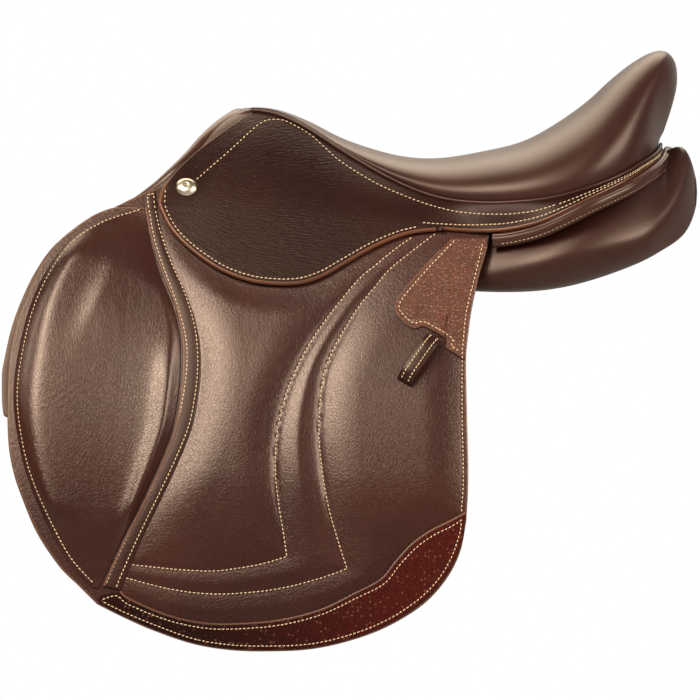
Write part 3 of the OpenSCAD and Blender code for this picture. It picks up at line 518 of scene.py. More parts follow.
# %% Two kinds of leather
def rgb(text):
    """Colour as it is seen, to the linear values that a shader takes."""
    v = [int(text[k:k + 2], 16) / 255 for k in (1, 3, 5)]
    return tuple(c / 12.92 if c <= 0.04045 else ((c + 0.055) / 1.055) ** 2.4 for c in v) + (1.0,)


def new_material(name):
    """A material with its node tree, its shader and the object's own coordinates."""
    material = bpy.data.materials.new(name)
    material.use_nodes = True
    tree = material.node_tree
    shader = next(n for n in tree.nodes if n.type == "BSDF_PRINCIPLED")
    g = Graph(tree)
    place = g.add("ShaderNodeTexCoord").outputs["Object"]
    return material, g, shader, place


SHEEN_TINT = (1.0, 0.84, 0.72, 1.0)
NAIL_PLACE = (float(sx(187)) / MM, 0.0, float(sz(188)) / MM)


def dress(g, shader, tone, rough, relief):
    """Colour, roughness (pattern, how much of it, base) and relief (height, strength, depth) of a shader."""
    g.put(shader.inputs["Base Color"], tone)
    g.put(shader.inputs["Roughness"], g.math("MULTIPLY_ADD", *rough))
    node = g.add("ShaderNodeBump", dict(zip(("Height", "Strength", "Distance"), relief)))
    g.put(shader.inputs["Normal"], node.outputs[0])
    return node


def sheen(shader, specular):
    """Strength and warm tint of the leather's shine."""
    shader.inputs["Specular IOR Level"].default_value = specular
    shader.inputs["Specular Tint"].default_value = SHEEN_TINT


def leather(name, dark, light, rough, pore, crease, relief, specular=0.5, worn_lit_edge=None, drawn=0.0):
    """Smooth leather between two tones, with pores, fine creases darkened as painted shade, a lighter edge band that
    is partly burnished wear and partly a painted highlight, and wrinkles where asked for.
    """
    material, g, shader, place = new_material(name)
    grain = g.add("ShaderNodeGroup", node_tree=GRAIN)
    g.put(grain.inputs["Vector"], place)
    grain.inputs["Pore size"].default_value = pore
    grain.inputs["Crease"].default_value = crease
    tone = g.mix(g.ramp(grain.outputs["Clouds"], 0.3, 0.7), rgb(dark), rgb(light))
    # Painted shade: the fine creases are darkened towards the dark tone.
    tone = g.mix(g.math("MULTIPLY", grain.outputs["Creases"], 0.3), tone, rgb(dark))
    # Painted highlight: the lighter edge band is partly burnished wear and partly the light along the rim.
    if worn_lit_edge:
        edge = g.add("ShaderNodeAttribute", attribute_name="edge_wear_and_highlight").outputs["Fac"]
        tone = g.mix(edge, tone, rgb(worn_lit_edge))
    fine = dress(g, shader, tone, (grain.outputs["Clouds"], 0.03, rough - 0.015),
                 (grain.outputs["Height"], relief, 0.0006))
    if drawn:
        folds = g.add("ShaderNodeGroup", node_tree=WRINKLES)
        g.put(folds.inputs["Vector"], place)
        folds.inputs["From"].default_value = NAIL_PLACE
        wide = g.add("ShaderNodeBump", {"Strength": drawn, "Distance": 0.0014, "Height": folds.outputs["Height"]})
        g.put(fine.inputs["Normal"], wide.outputs[0])
    sheen(shader, specular)
    return material


def pebbled(name, dark, light, glint, grains, net, relief, glint_share, rough=0.42, specular=0.5, rear=None,
            valleys=0.6):
    """Embossed leather with round grains, valleys darkened as painted shade and pale dots painted as glints. A second
    tone can come in towards the rear.
    """
    material, g, shader, place = new_material(name)
    grain = g.add("ShaderNodeGroup", node_tree=PEBBLE)
    g.put(grain.inputs["Vector"], place)
    grain.inputs["Grains"].default_value = grains
    grain.inputs["Glint net"].default_value = net
    tone = g.mix(g.ramp(grain.outputs["Clouds"], 0.3, 0.7), rgb(dark), rgb(light))
    if rear:
        length_way = g.add("ShaderNodeSeparateXYZ", {"Vector": place}).outputs[0]
        tone = g.mix(g.ramp(length_way, -0.14, 0.06), tone, rgb(rear))
    # Painted shade: the valleys between the grains are darkened towards 40% of the dark tone.
    valley_shade = tuple(c * 0.4 for c in rgb(dark)[:3]) + (1.0,)
    tone = g.mix(g.math("MULTIPLY", grain.outputs["Valleys"], valleys), tone, valley_shade)
    # Painted highlight: the pale dots are mixed in with their own light colour.
    tone = g.mix(g.math("MULTIPLY", grain.outputs["Painted glints"], glint_share), tone, rgb(glint))
    dress(g, shader, tone, (grain.outputs["Valleys"], 0.25, rough), (grain.outputs["Height"], relief, 0.0008))
    sheen(shader, specular)
    return material


print("leather shaders ready")

# %% Leathers of the saddle
# Colour of the lighter edge band: burnished wear and a painted highlight along the rim.
WORN_AND_LIT_EDGE = "#553a2c"
SEAT_LEATHER = leather("seat leather", "#2a1512", "#331b16", rough=0.37, pore=900, crease=0.25, relief=0.07,
                       specular=0.36)
SKIRT_LEATHER = leather("skirt leather", "#1c0d0a", "#23100d", rough=0.36, pore=620, crease=0.5, relief=0.2,
                        specular=0.16, drawn=0.42)
FLAP_LEATHER = leather("flap leather", "#2b1512", "#351a16", rough=0.3, pore=520, crease=0.45, relief=0.2, worn_lit_edge=WORN_AND_LIT_EDGE)
INSERT_LEATHER = leather("insert leather", "#2a1512", "#341a15", rough=0.28, pore=500, crease=0.45, relief=0.2)
PANEL_LEATHER = leather("panel leather", "#240e0b", "#2d120d", rough=0.4, pore=700, crease=0.3, relief=0.14)
ROLL_LEATHER = leather("roll leather", "#2d1713", "#371d17", rough=0.34, pore=900, crease=0.15, relief=0.06)
EDGE_LEATHER = leather("edge leather", "#482819", "#5a3522", rough=0.33, pore=1200, crease=0.3, relief=0.08)
STRIP_LEATHER = leather("strip leather", "#24110d", "#2d1611", rough=0.36, pore=900, crease=0.5, relief=0.16,
                        specular=0.3)
CORD_LEATHER = leather("cord leather", "#4a2f25", "#5a3b2e", rough=0.33, pore=1200, crease=0.3, relief=0.08)
LINING_LEATHER = leather("lining leather", "#2a1511", "#341b16", rough=0.48, pore=800, crease=0.6, relief=0.22,
                         worn_lit_edge=WORN_AND_LIT_EDGE)
STRAP_LEATHER = leather("strap leather", "#40271c", "#503224", rough=0.42, pore=900, crease=0.5, relief=0.2)
TRIM_LEATHER = pebbled("pebbled hem leather", "#160706", "#270b09", "#7c5245", grains=520, net=250, relief=0.25,
                       glint_share=0.34, specular=0.08, rear="#46100c")
PATCH_LEATHER = pebbled("pebbled patch leather", "#4d2519", "#643627", "#a07c68", grains=400, net=330, relief=0.6,
                        glint_share=0.4, rough=0.34, valleys=0.8)
print("leather ready")

# %% Shaders of thread, webbing, wood, metal and foam
def make_thread():
    """Waxed thread: a twist of fine strands."""
    material, g, shader, place = new_material("waxed thread")
    strands = g.noise(place, 2600.0, 2.0, 0.6)
    tone = g.mix(g.ramp(strands, 0.35, 0.65), rgb("#ad9475"), rgb("#d2bd9d"))
    dress(g, shader, tone, (strands, 0.2, 0.45), (strands, 0.3, 0.0003))
    return material


def make_webbing(name, light, dark):
    """Woven webbing: warp and weft as two crossed waves."""
    material, g, shader, place = new_material(name)
    warp, weft = (g.add("ShaderNodeTexWave", {"Vector": place, "Scale": 320.0, "Distortion": 0.4, "Detail": 1.0},
                        wave_type="BANDS", bands_direction=way).outputs["Fac"] for way in ("X", "Z"))
    weave = g.math("MAXIMUM", warp, weft)
    dirt = g.noise(place, 22.0, 3.0, 0.6)
    tone = g.mix(g.math("MULTIPLY", weave, dirt), rgb(dark), rgb(light))
    dress(g, shader, tone, (dirt, 0.15, 0.75), (weave, 0.6, 0.0006))
    return material


def make_wood():
    """Laminated beech: long growth rings with short pores."""
    material, g, shader, place = new_material("laminated beech")
    lengthwise = g.add("ShaderNodeMapping", {"Vector": place, "Scale": (4.0, 40.0, 40.0)}).outputs[0]
    rings, pores = g.noise(lengthwise, 3.0, 5.0, 0.6), g.noise(lengthwise, 40.0, 2.0, 0.5)
    tone = g.mix(g.ramp(rings, 0.35, 0.65), rgb("#a97c4c"), rgb("#caa06b"))
    tone = g.mix(g.math("MULTIPLY", g.ramp(pores, 0.6, 0.75), 0.5), tone, rgb("#7c5632"))
    dress(g, shader, tone, (rings, 0.15, 0.5), (pores, 0.2, 0.0005))
    return material


def make_metal(name, dark, light, rough, stretch=(1.0, 1.0, 1.0)):
    """Metal with fine polishing lines and tarnish in clouds."""
    material, g, shader, place = new_material(name)
    drawn_out = g.add("ShaderNodeMapping", {"Vector": place, "Scale": stretch}).outputs[0]
    lines = g.noise(drawn_out, 700.0, 2.0, 0.6)
    clouds = g.noise(place, 60.0, 3.0, 0.6)
    shader.inputs["Metallic"].default_value = 1.0
    tone = g.mix(g.ramp(clouds, 0.3, 0.7), rgb(dark), rgb(light))
    dress(g, shader, tone, (clouds, 0.15, rough - 0.07), (lines, 0.04, 0.0002))
    return material


def make_foam():
    """Upholstery foam: open cells."""
    material, g, shader, place = new_material("seat foam")
    cells = g.add("ShaderNodeTexVoronoi", {"Vector": place, "Scale": 700.0}, feature="F1").outputs["Distance"]
    tone = g.mix(g.ramp(cells, 0.1, 0.6), rgb("#b79f6c"), rgb("#e0cf9f"))
    dress(g, shader, tone, (cells, 0.1, 0.85), (cells, 0.6, 0.0008))
    return material


print("other shaders ready")

# %% Thread, webbing and the frame's wood and steel
THREAD, WOOD, FOAM = make_thread(), make_wood(), make_foam()
WEBBING = make_webbing("girth webbing", "#d8cca8", "#8d8160")
STEEL = make_metal("satin steel", "#7d8084", "#a9acb0", 0.34, (0.1, 1.0, 1.0))
NAIL_METAL = make_metal("nickel nail", "#cbc3ab", "#efe8d4", 0.33)
STEEL_NODES = ("tree_springs", "head_plate", "catch_pins", "bar_rivets", "stirrup_bar", "bar_catch")
for node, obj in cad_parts.items():
    if node.startswith(STEEL_NODES + ("tree_",)):
        obj.data.materials.clear()
        obj.data.materials.append(STEEL if node.startswith(STEEL_NODES) else WOOD)
print("finishes ready")

# %% [markdown]
# ## Seat
# The seat is one piece of leather over foam, lasted down to the welt. Its ribs run from the left welt over the spine
# to the right welt; a curve with an upright start and a flat crown gives each rib the rounded bolster of a deep seat.
# A real seat pulls slightly hollow just above the welt, where the seam draws it in, so the foot of each rib is
# tucked. Behind the last rib a short tongue closes the leather down to the welt.

# %% Seat ribs
SEAT_SPINE = [[246, 106], [262, 105.5], [282, 109], [310, 120], [340, 135.5], [372, 147], [405, 155], [440, 156.5],
              [482, 150], [523, 140], [557, 122], [588, 100], [612, 78], [635, 60], [655, 49.5], [669, 49.5],
              [678, 61], [679.5, 82], [674, 106], [666, 130]]
WELT = [[251, 108], [262, 108.5], [282, 113], [310, 127], [337, 145], [367, 163.5], [402, 182.5], [440, 197],
        [482, 202], [523, 200.5], [557, 196], [590, 186], [613, 177], [632, 167], [645, 159], [652, 154.5],
        [656, 151], [659, 147.5], [660.5, 144.5], [661, 142]]
WELT_SHARES = [0.26, 0.265, 0.3, 0.375, 0.46, 0.565, 0.69, 0.82, 0.925, 0.985, 1, 0.97, 0.9, 0.78, 0.62, 0.46,
               0.33, 0.22, 0.12, 0.05]
DEPTH_SHARES = [0.4, 0.4, 0.45, 0.6, 0.8, 1, 1, 1, 1, 1, 1, 0.9, 0.7, 0.5, 0.35, 0.28, 0.25, 0.22, 0.2, 0.2]
SIDE_SHARES = [0, 0, 0.05, 0.1, 0.2, 0.3, 0.45, 0.7, 0.9] + [1] * 11
FLAT_SHARES = [0.6, 0.6, 0.6, 0.6, 0.6, 0.62, 0.64, 0.65, 0.65, 0.65, 0.66, 0.68, 0.72, 0.78, 0.9, 1.1, 1.3, 1.5,
               1.6, 1.6]
SEAT_HALF, SEAT_T, RIBS, WELT_R = 136.0, 2.2, 19, 1.7
TUCK_IN, TUCK_DOWN = np.array([3.4, 1.4]), np.array([2.6, 1.6])


def settle(table, width):
    """A table read at any rib, with the small steps between its numbers smoothed away."""
    steps = 20
    at = np.linspace(0, len(table) - 1, steps * (len(table) - 1) + 1)
    dense = along(table, at).reshape(len(at), -1)
    reach = 2 * steps
    weight = np.exp(-0.5 * (np.arange(-reach, reach + 1) / (steps * width)) ** 2)
    weight /= weight.sum()
    padded = np.concatenate([2 * dense[0] - dense[reach:0:-1], dense, 2 * dense[-1] - dense[-2:-reach - 2:-1]])
    even_out = np.stack([np.convolve(column, weight, "valid") for column in padded.T], -1)

    def read(u):
        values = np.stack([np.interp(u, at, column) for column in even_out.T], -1)
        return values if values.shape[-1] > 1 else values[..., 0]
    return read


print("ribs:", RIBS + 1)

# %% Seat cover
spine_px, welt_px = settle(SEAT_SPINE, 0.15), settle(WELT, 0.35)
welt_share, depth_share = settle(WELT_SHARES, 0.6), settle(DEPTH_SHARES, 0.6)
side_share, flat_share = settle(SIDE_SHARES, 0.6), settle(FLAT_SHARES, 0.8)
UP = np.array([0.0, 0.0, 1.0])


def spine_at(u):
    """Point of the seat's spine on a rib."""
    p = spine_px(u)
    return np.stack([sx(p[..., 0]), np.zeros(p.shape[:-1]), sz(p[..., 1])], -1)


def welt_at(u):
    """Point of the left welt on a rib."""
    p = welt_px(u)
    return np.stack([sx(p[..., 0]), -SEAT_HALF * welt_share(u), sz(p[..., 1])], -1)


def welt_out(u):
    """Level direction away from the seat, square to the welt."""
    a, b = welt_at(np.maximum(0, u - 0.1)), welt_at(np.minimum(RIBS, u + 0.1))
    return unit(np.stack([b[..., 1] - a[..., 1], a[..., 0] - b[..., 0], np.zeros(np.shape(u))], -1))


def bezier(a, b, c, d, t):
    """Cubic curve from a to d, drawn towards b and c."""
    return a * (1 - t) ** 3 + 3 * b * t * (1 - t) ** 2 + 3 * c * t * t * (1 - t) + d * t ** 3


def seat_net(u, t, depth):
    """Points of the seat at a depth below its leather; t is 0 at the left welt, 1 at the spine and 2 at the right."""
    u = np.asarray(u, float)[:, None]
    t = np.asarray(t, float)[None, :, None]
    d = (depth * depth_share(u))[..., None]
    inward = side_share(u)[..., None]
    out, welt, spine = welt_out(u), welt_at(u), spine_at(u)
    a, b = spine_at(np.maximum(0, u - 0.1)), spine_at(np.minimum(RIBS, u + 0.1))
    under = unit(np.stack([b[..., 2] - a[..., 2], 0 * b[..., 0], a[..., 0] - b[..., 0]], -1))
    foot = welt - out * d * inward - UP * d * (1 - inward)
    top = spine + under * d
    rise = UP * (0.55 - 0.12 * ease(u, 8, 11))[..., None] * (spine - welt)[..., 2:3]
    bulge = out * 0.07 * SEAT_HALF * np.abs(welt_share(u))[..., None]
    crown = np.stack([0 * foot[..., 0], flat_share(u) * foot[..., 1], 0 * foot[..., 0]], -1)
    p = bezier(foot, foot + rise + bulge, top + crown, top, np.where(t > 1, 2 - t, t))
    p[..., 1] = np.where(t[..., 0] > 1, -p[..., 1], p[..., 1])
    return p


seat_u = np.linspace(0, RIBS, 229)
seat_t = np.concatenate([np.linspace(0, 1, 49), np.linspace(1, 2, 49)[1:]])
seat_points = seat_net(seat_u, seat_t, 0.0)
tuck = -welt_out(seat_u)[:, None] * TUCK_IN[None, :, None] - UP * TUCK_DOWN[None, :, None]
left_tuck = seat_points[:, :1] + tuck
right_tuck = (left_tuck * MIRROR)[:, ::-1]
seat_points = np.concatenate([left_tuck, seat_points, right_tuck], 1)
rear_edge, across = seat_points[-1], np.linspace(0, 1, seat_points.shape[1])[:, None]
rear_base = rear_edge[0] * (1 - across) + rear_edge[-1] * across
tongue = [rear_edge * (1 - share) + rear_base * share for share in (0.35, 0.7, 1.0)]
seat_points = np.concatenate([seat_points, tongue])
seat = leather_sheet("seat", seat_points, SEAT_T, edge=0, inner=UP)
finish_piece(seat, "root", SEAT_LEATHER, ["seat_cover"])
print("seat: %d faces" % len(seat.data.polygons))

# %% Seat foam and strap
def slab(name, outer, inner):
    """Closed slab between two nets of the same size."""
    obj = grid_object(name, outer)
    lower = grid_object(name + "_under", inner)
    lower.data.flip_normals()
    choose(obj, lower)
    bpy.ops.object.join()
    bpy.ops.object.mode_set(mode="EDIT")
    bpy.ops.mesh.select_all(action="DESELECT")
    bpy.ops.mesh.select_non_manifold()
    bpy.ops.mesh.bridge_edge_loops()
    bpy.ops.object.mode_set(mode="OBJECT")
    turn_faces_out(obj)
    smooth_by_angle(obj, 45)
    return obj


FOAM_TOP, FOAM_CUT, FOAM_BASE, STRAP_TOP, STRAP_BASE = 3.6, 6.0, 21.5, 22.9, 24.9
foam_u, foam_t = np.linspace(0.7, RIBS - 1.2, 60), np.linspace(0.12, 1.88, 33)
foam_top = FOAM_TOP + FOAM_CUT * ease(foam_u, 12, 16)[:, None]
foam = slab("seat_padding", seat_net(foam_u, foam_t, foam_top), seat_net(foam_u, foam_t, FOAM_BASE))
finish_piece(foam, "root", FOAM, ["seat_foam"])
web_u, web_t = np.linspace(4.1, 10.9, 24), np.linspace(5 / 7, 9 / 7, 9)
web_net = seat_net(web_u, web_t, STRAP_TOP)
seat_strap = slab("seat_strap", web_net, seat_net(web_u, web_t, STRAP_BASE))
finish_piece(seat_strap, "root", WEBBING, ["seat_web"])

# %% [markdown]
# ## Welt, skirt yoke and lobe
# Between seat and skirt runs a thin covered cord, the welt. The skirt hangs from it in one sweep: its upper part, the
# yoke, is fixed and runs round the cantle as a tail, and its lower lobe lifts about the fold to reach the stirrup
# bar. Yoke and lobe are two sheets that meet on the fold with the same slope, so that no line shows while they hang.

# %% Yoke net
FOLD = [[165, 203], [455, 227]]
YOKE_WELT = np.array([0.1, 0.55, 1.4, 2.3, 3.1, 3.8, 4.6, 5.35, 6.2, 7, 7.75, 8.5, 9.05, 9.5, 10.2, 10.8, 11.6,
                      12.5, 13.6, 15, 16.8, 18.9])
YOKE_BASE = [[161.8, 202.7], [190, 205], [220, 207.5], [255, 210.4], [295, 213.7], [325, 216.2], [355, 218.7],
             [382, 221], [412, 223.4], [441, 225.8], [472, 228], [502, 227.5], [527, 223], [545, 217.5], [566, 208],
             [586, 198], [607, 188], [629, 177], [648, 165], [659, 157.5], [664, 153.5], [666, 151.5]]
TAIL_SHARES = [0.925, 0.96, 0.985, 1, 0.985, 0.93, 0.825, 0.64, 0.42, 0.2, 0.003]
TAIL_HALF, TAIL_FIRST, YOKE_LAST = 148.0, 11, len(YOKE_BASE) - 1


def fold_row(column):
    """Row of the straight fold between yoke and lobe."""
    (column_a, row_a), (column_b, row_b) = FOLD
    return row_a + (np.asarray(column, float) - column_a) * (row_b - row_a) / (column_b - column_a)


def lean_at(z, r=SKIRT_R):
    """Lean of the leather's cylinder at a height."""
    return np.arcsin((z - AXIS_Z) / r)


yoke_bases = on_shell(SKIRT_R, YOKE_BASE)
for k, share in enumerate(TAIL_SHARES):
    yoke_bases[TAIL_FIRST + k, 1] = -TAIL_HALF * share


def yoke_top(u):
    """Upper edge of the yoke, just under the welt."""
    return welt_at(u) + welt_out(u) * (WELT_R + 0.9) - UP * WELT_R * 1.1


yoke_leans = lean_at(yoke_bases[:, 2])
for k in range(TAIL_FIRST, YOKE_LAST + 1):
    rise = yoke_top(YOKE_WELT[k]) - yoke_bases[k]
    yoke_leans[k] = math.atan2(float(-welt_out(YOKE_WELT[k]) @ rise), float(rise[2]))
yoke_welt, yoke_lean = settle(YOKE_WELT, 0.4), settle(yoke_leans, 0.5)


def yoke_net(k, t):
    """Points of the yoke; k counts its base points, and t goes from the welt to the base."""
    k = np.asarray(k, float)[:, None]
    t = np.asarray(t, float)[None, :, None]
    u = yoke_welt(k)
    base, lean, top = along(yoke_bases, k), yoke_lean(k)[..., None], yoke_top(u)
    fall = base - top
    length = np.linalg.norm(fall, axis=-1, keepdims=True)
    out = unit(welt_out(u) + UP * 0.8)
    tail = ease(k, 9.0, 11.5)[..., None]
    inward = unit(-welt_out(u) * tail + np.array([0, 1.0, 0]) * (1 - tail))
    hang = inward * np.sin(lean) + UP * np.cos(lean)
    return bezier(top, top + fall * 0.36 + out * length * 0.09, base + hang * length * 0.24, base, t)


yoke_k = np.linspace(0, YOKE_LAST, 337)
yoke_points = yoke_net(yoke_k, np.linspace(0, 1, 61))
yoke = leather_sheet("yoke_leather_left", yoke_points, SKIRT_T, edge=0)
both_sides(yoke, "yoke_leather_SIDE", "root", SKIRT_LEATHER, ["skirt_yoke_SIDE"])
print("yoke: %d faces" % len(yoke.data.polygons))

# %% Lobe and welt cord
LOBE = [[161.9, 203.6], [164.5, 210.5], [172, 225], [184, 239.5], [203, 255.5], [226, 269.5], [252, 278.5],
        [278, 281.5], [301, 280.5], [322, 273.5], [341, 262.5], [365, 248.5], [381, 240.5], [400, 233],
        [418, 228.9], [436, 227.2]]
LOBE_TIP, FOLD_GAP = 444.0, 0.06
fold_columns = np.linspace(LOBE[0][0], LOBE_TIP, 161)
fold_px = np.stack([fold_columns, fold_row(fold_columns)], -1)
lobe_v = np.linspace(0, 1, 41)[None, :, None]
lobe_px = fold_px[:, None] * (1 - lobe_v) + even(LOBE, 161)[:, None] * lobe_v
lobe_points = on_shell(SKIRT_R, lobe_px)
lobe_points[:, 0, 2] -= FOLD_GAP
lobe = leather_sheet("skirt_lobe_left", lobe_points, SKIRT_T, edge=0)
both_sides(lobe, "skirt_lobe_SIDE", "skirt_SIDE", SKIRT_LEATHER, ["skirt_SIDE"])
welt_u = np.linspace(0, RIBS, 240)
welt_left = welt_at(welt_u) + welt_out(welt_u) * (WELT_R + 0.2) - UP * WELT_R * 0.4
welt = tube("seat_welt_cord", np.concatenate([welt_left, (welt_left * MIRROR)[::-1]]), WELT_R, sides=10)
finish_piece(welt, "root", SEAT_LEATHER, ["seat_welt"])
print("lobe: %d faces" % len(lobe.data.polygons))

# %% [markdown]
# ## Rolled edges
# The skirt's cut edge is covered by a narrow strip of lighter leather, rolled round it. On the lobe it follows the
# outline, and on the tail it runs round the cantle. It is a round tube along the edge.

# %% Rolled edges of lobe and tail
EDGE_R, THIN_R, EDGE_BITE = 2.1, 1.1, 0.5
edge_points = on_shell(SKIRT_R - SKIRT_T / 2, even(LOBE, 200))
run = unit(np.gradient(edge_points, axis=0))
outside = unit(np.cross(run, np.array([0, -1.0, 0.5])))
below = outside if outside[100][2] < 0 else -outside
lobe_roll = tube("skirt_edge_roll_left", edge_points + below * (EDGE_R - EDGE_BITE), EDGE_R, sides=12)
both_sides(lobe_roll, "skirt_edge_roll_SIDE", "skirt_SIDE", EDGE_LEATHER, ["skirt_edge_SIDE"],
           lambda p: p)


def rolled_rim(name, rim_line, skin_way, away, radii):
    """Roll along the rim of a sheet, centred on its thickness and just outside the rim."""
    along_rim = unit(np.gradient(rim_line, axis=0))
    skin = unit(skin_way - along_rim * (along_rim * skin_way).sum(-1, keepdims=True))
    off = np.cross(along_rim, skin)
    off = np.where((off * away).sum(-1, keepdims=True) < 0, -off, off)
    radii = np.broadcast_to(np.asarray(radii, float), (len(rim_line),))
    path = rim_line - skin * SKIRT_T / 2 + off * (radii - EDGE_BITE)[:, None]
    path[:, 1] = np.minimum(path[:, 1], -0.02)
    return tube(name, path, radii, sides=12)


tail_k = np.linspace(8.86, YOKE_LAST, 170)
tail_rim = yoke_net(tail_k, np.array([1.0]))[:, 0]
tail_roll = rolled_rim("tail_edge_roll_left", tail_rim, welt_out(yoke_welt(tail_k)), -UP, EDGE_R)
both_sides(tail_roll, "tail_edge_roll_SIDE", "root", EDGE_LEATHER, ["tail_edge_SIDE"],
           lambda p: p)
front_t = np.linspace(1.0, 0.03, 90)
front_nets = yoke_net(np.array([0.0, 0.15]), front_t)
front_rim = front_nets[0]
front_skin = unit(np.cross(np.gradient(front_rim, axis=0), front_nets[1] - front_rim))
front_skin = np.where(front_skin[:, 1:2] > 0, -front_skin, front_skin)
front_roll = rolled_rim("front_edge_roll_left", front_rim, front_skin, np.array([-1.0, 0, 0.2]),
                        THIN_R + (EDGE_R - THIN_R) * ease(front_t, 0.72, 0.9))
both_sides(front_roll, "front_edge_roll_SIDE", "root", EDGE_LEATHER, (),
           lambda p: p)
print("rolled edges ready")

# %% [markdown]
# ## Flap
# The flap is a large sheet, padded under its leather: rows of stitching draw the outline of the pad, and the leather
# puffs up softly beside them. The puffing is a height that grows with the distance from the nearest row and stops
# under the lobe of the skirt, where the layers lie flat. The pattern's four borders give the net of the sheet. Two of
# them meet almost in line at the front corner, so the net is settled there.

# %% Lines of the flap
LINE_A = [[412, 237], [394, 250], [377, 264], [360, 278], [342, 299], [322, 325], [306, 350], [291, 381],
          [281, 412], [276, 445], [276, 478], [280, 511], [284, 535], [287, 556]]
LINE_A2 = [[287, 556], [259, 564], [220, 570], [195, 570], [169, 568], [132, 564]]
LINE_B = [[436, 233], [420, 245], [406, 256], [389, 270], [374, 288], [360, 305], [350, 320], [334, 348],
          [324, 374], [320, 404], [319, 435], [322, 468], [328, 504], [337, 537], [347, 568]]
LINE_B2 = [[347, 568], [322, 577], [284, 587], [246, 592], [208, 593], [169, 588], [126, 577]]
STRIP_FRONT = [[145.5, 208], [152, 238], [163, 273], [176, 305], [183, 334], [184, 362], [182, 394], [175, 433],
               [161, 468], [144, 504], [126, 539], [105, 585]]
STRIP_REAR = [[157, 209], [163, 238], [174, 268], [188, 298], [198, 332], [201, 364], [198, 398], [191, 430],
              [176, 467], [158, 505], [141, 540], [121, 589]]
TRIM_TOP = [[101, 595], [110, 592.5], [121, 592], [131, 600], [169, 616], [208, 624], [246, 624], [284, 620],
            [322, 610], [355, 594], [381, 580], [396, 562], [412, 545], [430, 532], [450, 522], [465, 514]]
TRIM_HEM = [[99.5, 601.5], [108, 606], [117, 611], [128, 616], [157, 628.5], [195, 641.5], [233, 647.5],
            [271, 648.5], [310, 646.5], [347, 638.5], [384, 624.5], [413, 607.5], [436, 587], [452, 564],
            [462, 537], [465, 518]]
FLAP_FRONT = [[142, 207.5], [128, 206.4], [114, 206.9], [103, 210], [88, 217.5], [67, 233], [53, 247], [37, 273],
              [26, 299], [17, 323], [10, 358], [8, 395], [9, 440], [14, 470], [23, 497], [38, 532], [60, 565],
              [80, 585], [98, 603]]
FLAP_HEM = [[98, 603], [126, 617], [156, 630], [195, 643], [233, 649], [271, 650], [310, 648], [348, 640],
            [386, 626], [422, 604], [446, 578], [460, 550], [466, 519]]
FLAP_REAR = [[489, 236.2], [487, 248], [479, 275], [472, 307], [468, 335], [466, 362], [467, 420], [468, 478],
             [466, 519]]
REAR_STITCH = [[483, 243], [475, 276], [467, 308], [463.5, 336], [462, 362], [462, 420], [463, 478], [461, 512]]
print("rows of stitches that draw the pad:", len((LINE_A, LINE_A2, LINE_B, LINE_B2)))

# %% Flap net with its puffs
FLAP_DROP, FLAP_GAP, FLAP_EDGE = 6.4, 0.12, 0.8
PUFF, PUFF_RUN, GROOVE, GROOVE_RUN = 5.2, 36.0, 0.9, 2.0
FRONT_CORNER, CORNER_ROUNDS = (slice(25), slice(25)), 150


def flap_line(column):
    """Row of the line that the loose flap hangs from."""
    return fold_row(column) + FLAP_DROP


def lobe_cover(px):
    """1 where the skirt's lobe lies over the flap, 0 clear of it."""
    edge = even(LOBE, 120)
    row = np.interp(px[..., 0], edge[:, 0], edge[:, 1], left=150, right=226)
    row = np.where(px[..., 0] < LOBE[0][0], flap_line(px[..., 0]), row)
    return 1 - ease(px[..., 1] - row, 4, 34)


def column_of(line, row):
    """Column of a drawn line at a row."""
    return np.interp(row, [p[1] for p in line], [p[0] for p in line])


def row_of(line, column):
    """Row of a drawn line at a column."""
    return np.interp(column, [p[0] for p in line], [p[1] for p in line])


def flap_height(px):
    """How far the flap's leather stands off its cylinder, in millimetres."""
    column, row = px[..., 0], px[..., 1]
    near = np.minimum.reduce([line_distance(px, line) for line in (LINE_A, LINE_A2, LINE_B, LINE_B2)])
    sewn = [line_distance(px, line) for line in (STRIP_REAR, TRIM_TOP, REAR_STITCH)]
    border = np.minimum.reduce([near] + sewn)
    dome = PUFF * (1 - (1 - np.minimum(border / PUFF_RUN, 1)) ** 2) - GROOVE * np.exp(-(near / GROOVE_RUN) ** 2)
    behind_strip = ease(column - column_of(STRIP_REAR, row), -4, 3)
    before_rear = 1 - ease(column - column_of(REAR_STITCH, row), -2, 2)
    above_trim = 1 - ease(row - row_of(TRIM_TOP, column), -2, 2)
    upright = (0.35 + 0.65 * ease(row, 255, 365)) * (1 - 0.7 * ease(row, 470, 555))
    return dome * behind_strip * before_rear * above_trim * (1 - lobe_cover(px)) * upright


top_line = np.linspace(142, 489, 7)
flap_px = patch(np.stack([top_line, flap_line(top_line)], -1), FLAP_HEM, FLAP_FRONT, FLAP_REAR, 195, 195)
settle_net(flap_px[FRONT_CORNER], CORNER_ROUNDS)
flap_points = on_shell(FLAP_OUT + flap_height(flap_px), flap_px)
flap = leather_sheet("flap_leather_left", flap_points, FLAP_T, edge=0)


def on_top_line(place):
    """True on the edge that meets the nailed strip, and before it, up to the front silhouette."""
    column, row = side_view(place)
    return row < flap_line(column) + 1.5


bevel_edges(flap, FLAP_EDGE, on_top_line)
smooth_by_angle(flap)
print("flap: %d faces" % len(flap.data.polygons))

# %% Worn edges of the flap, with a painted highlight
WEAR_AND_SHEEN_FULL, WEAR_AND_SHEEN_NONE = 0.6, 2.2


def edge_attribute(obj, lines):
    """Marks the points near the drawn borders, for the lighter edge band: partly the burnished edge of the leather,
    partly a painted highlight along the rim.
    """
    px = side_view(points_of(obj) * MM)
    near = np.minimum.reduce([line_distance(px, line) for line in lines])
    mark = obj.data.attributes.new("edge_wear_and_highlight", "FLOAT", "POINT")
    mark.data.foreach_set("value", (1 - ease(near, WEAR_AND_SHEEN_FULL, WEAR_AND_SHEEN_NONE)).astype(np.float32))


edge_attribute(flap, [FLAP_REAR, FLAP_HEM, FLAP_FRONT])
both_sides(flap, "flap_leather_SIDE", "flap_SIDE", FLAP_LEATHER, ["flap_SIDE"])
print("wear ends %.1f mm from the edge" % WEAR_AND_SHEEN_NONE)

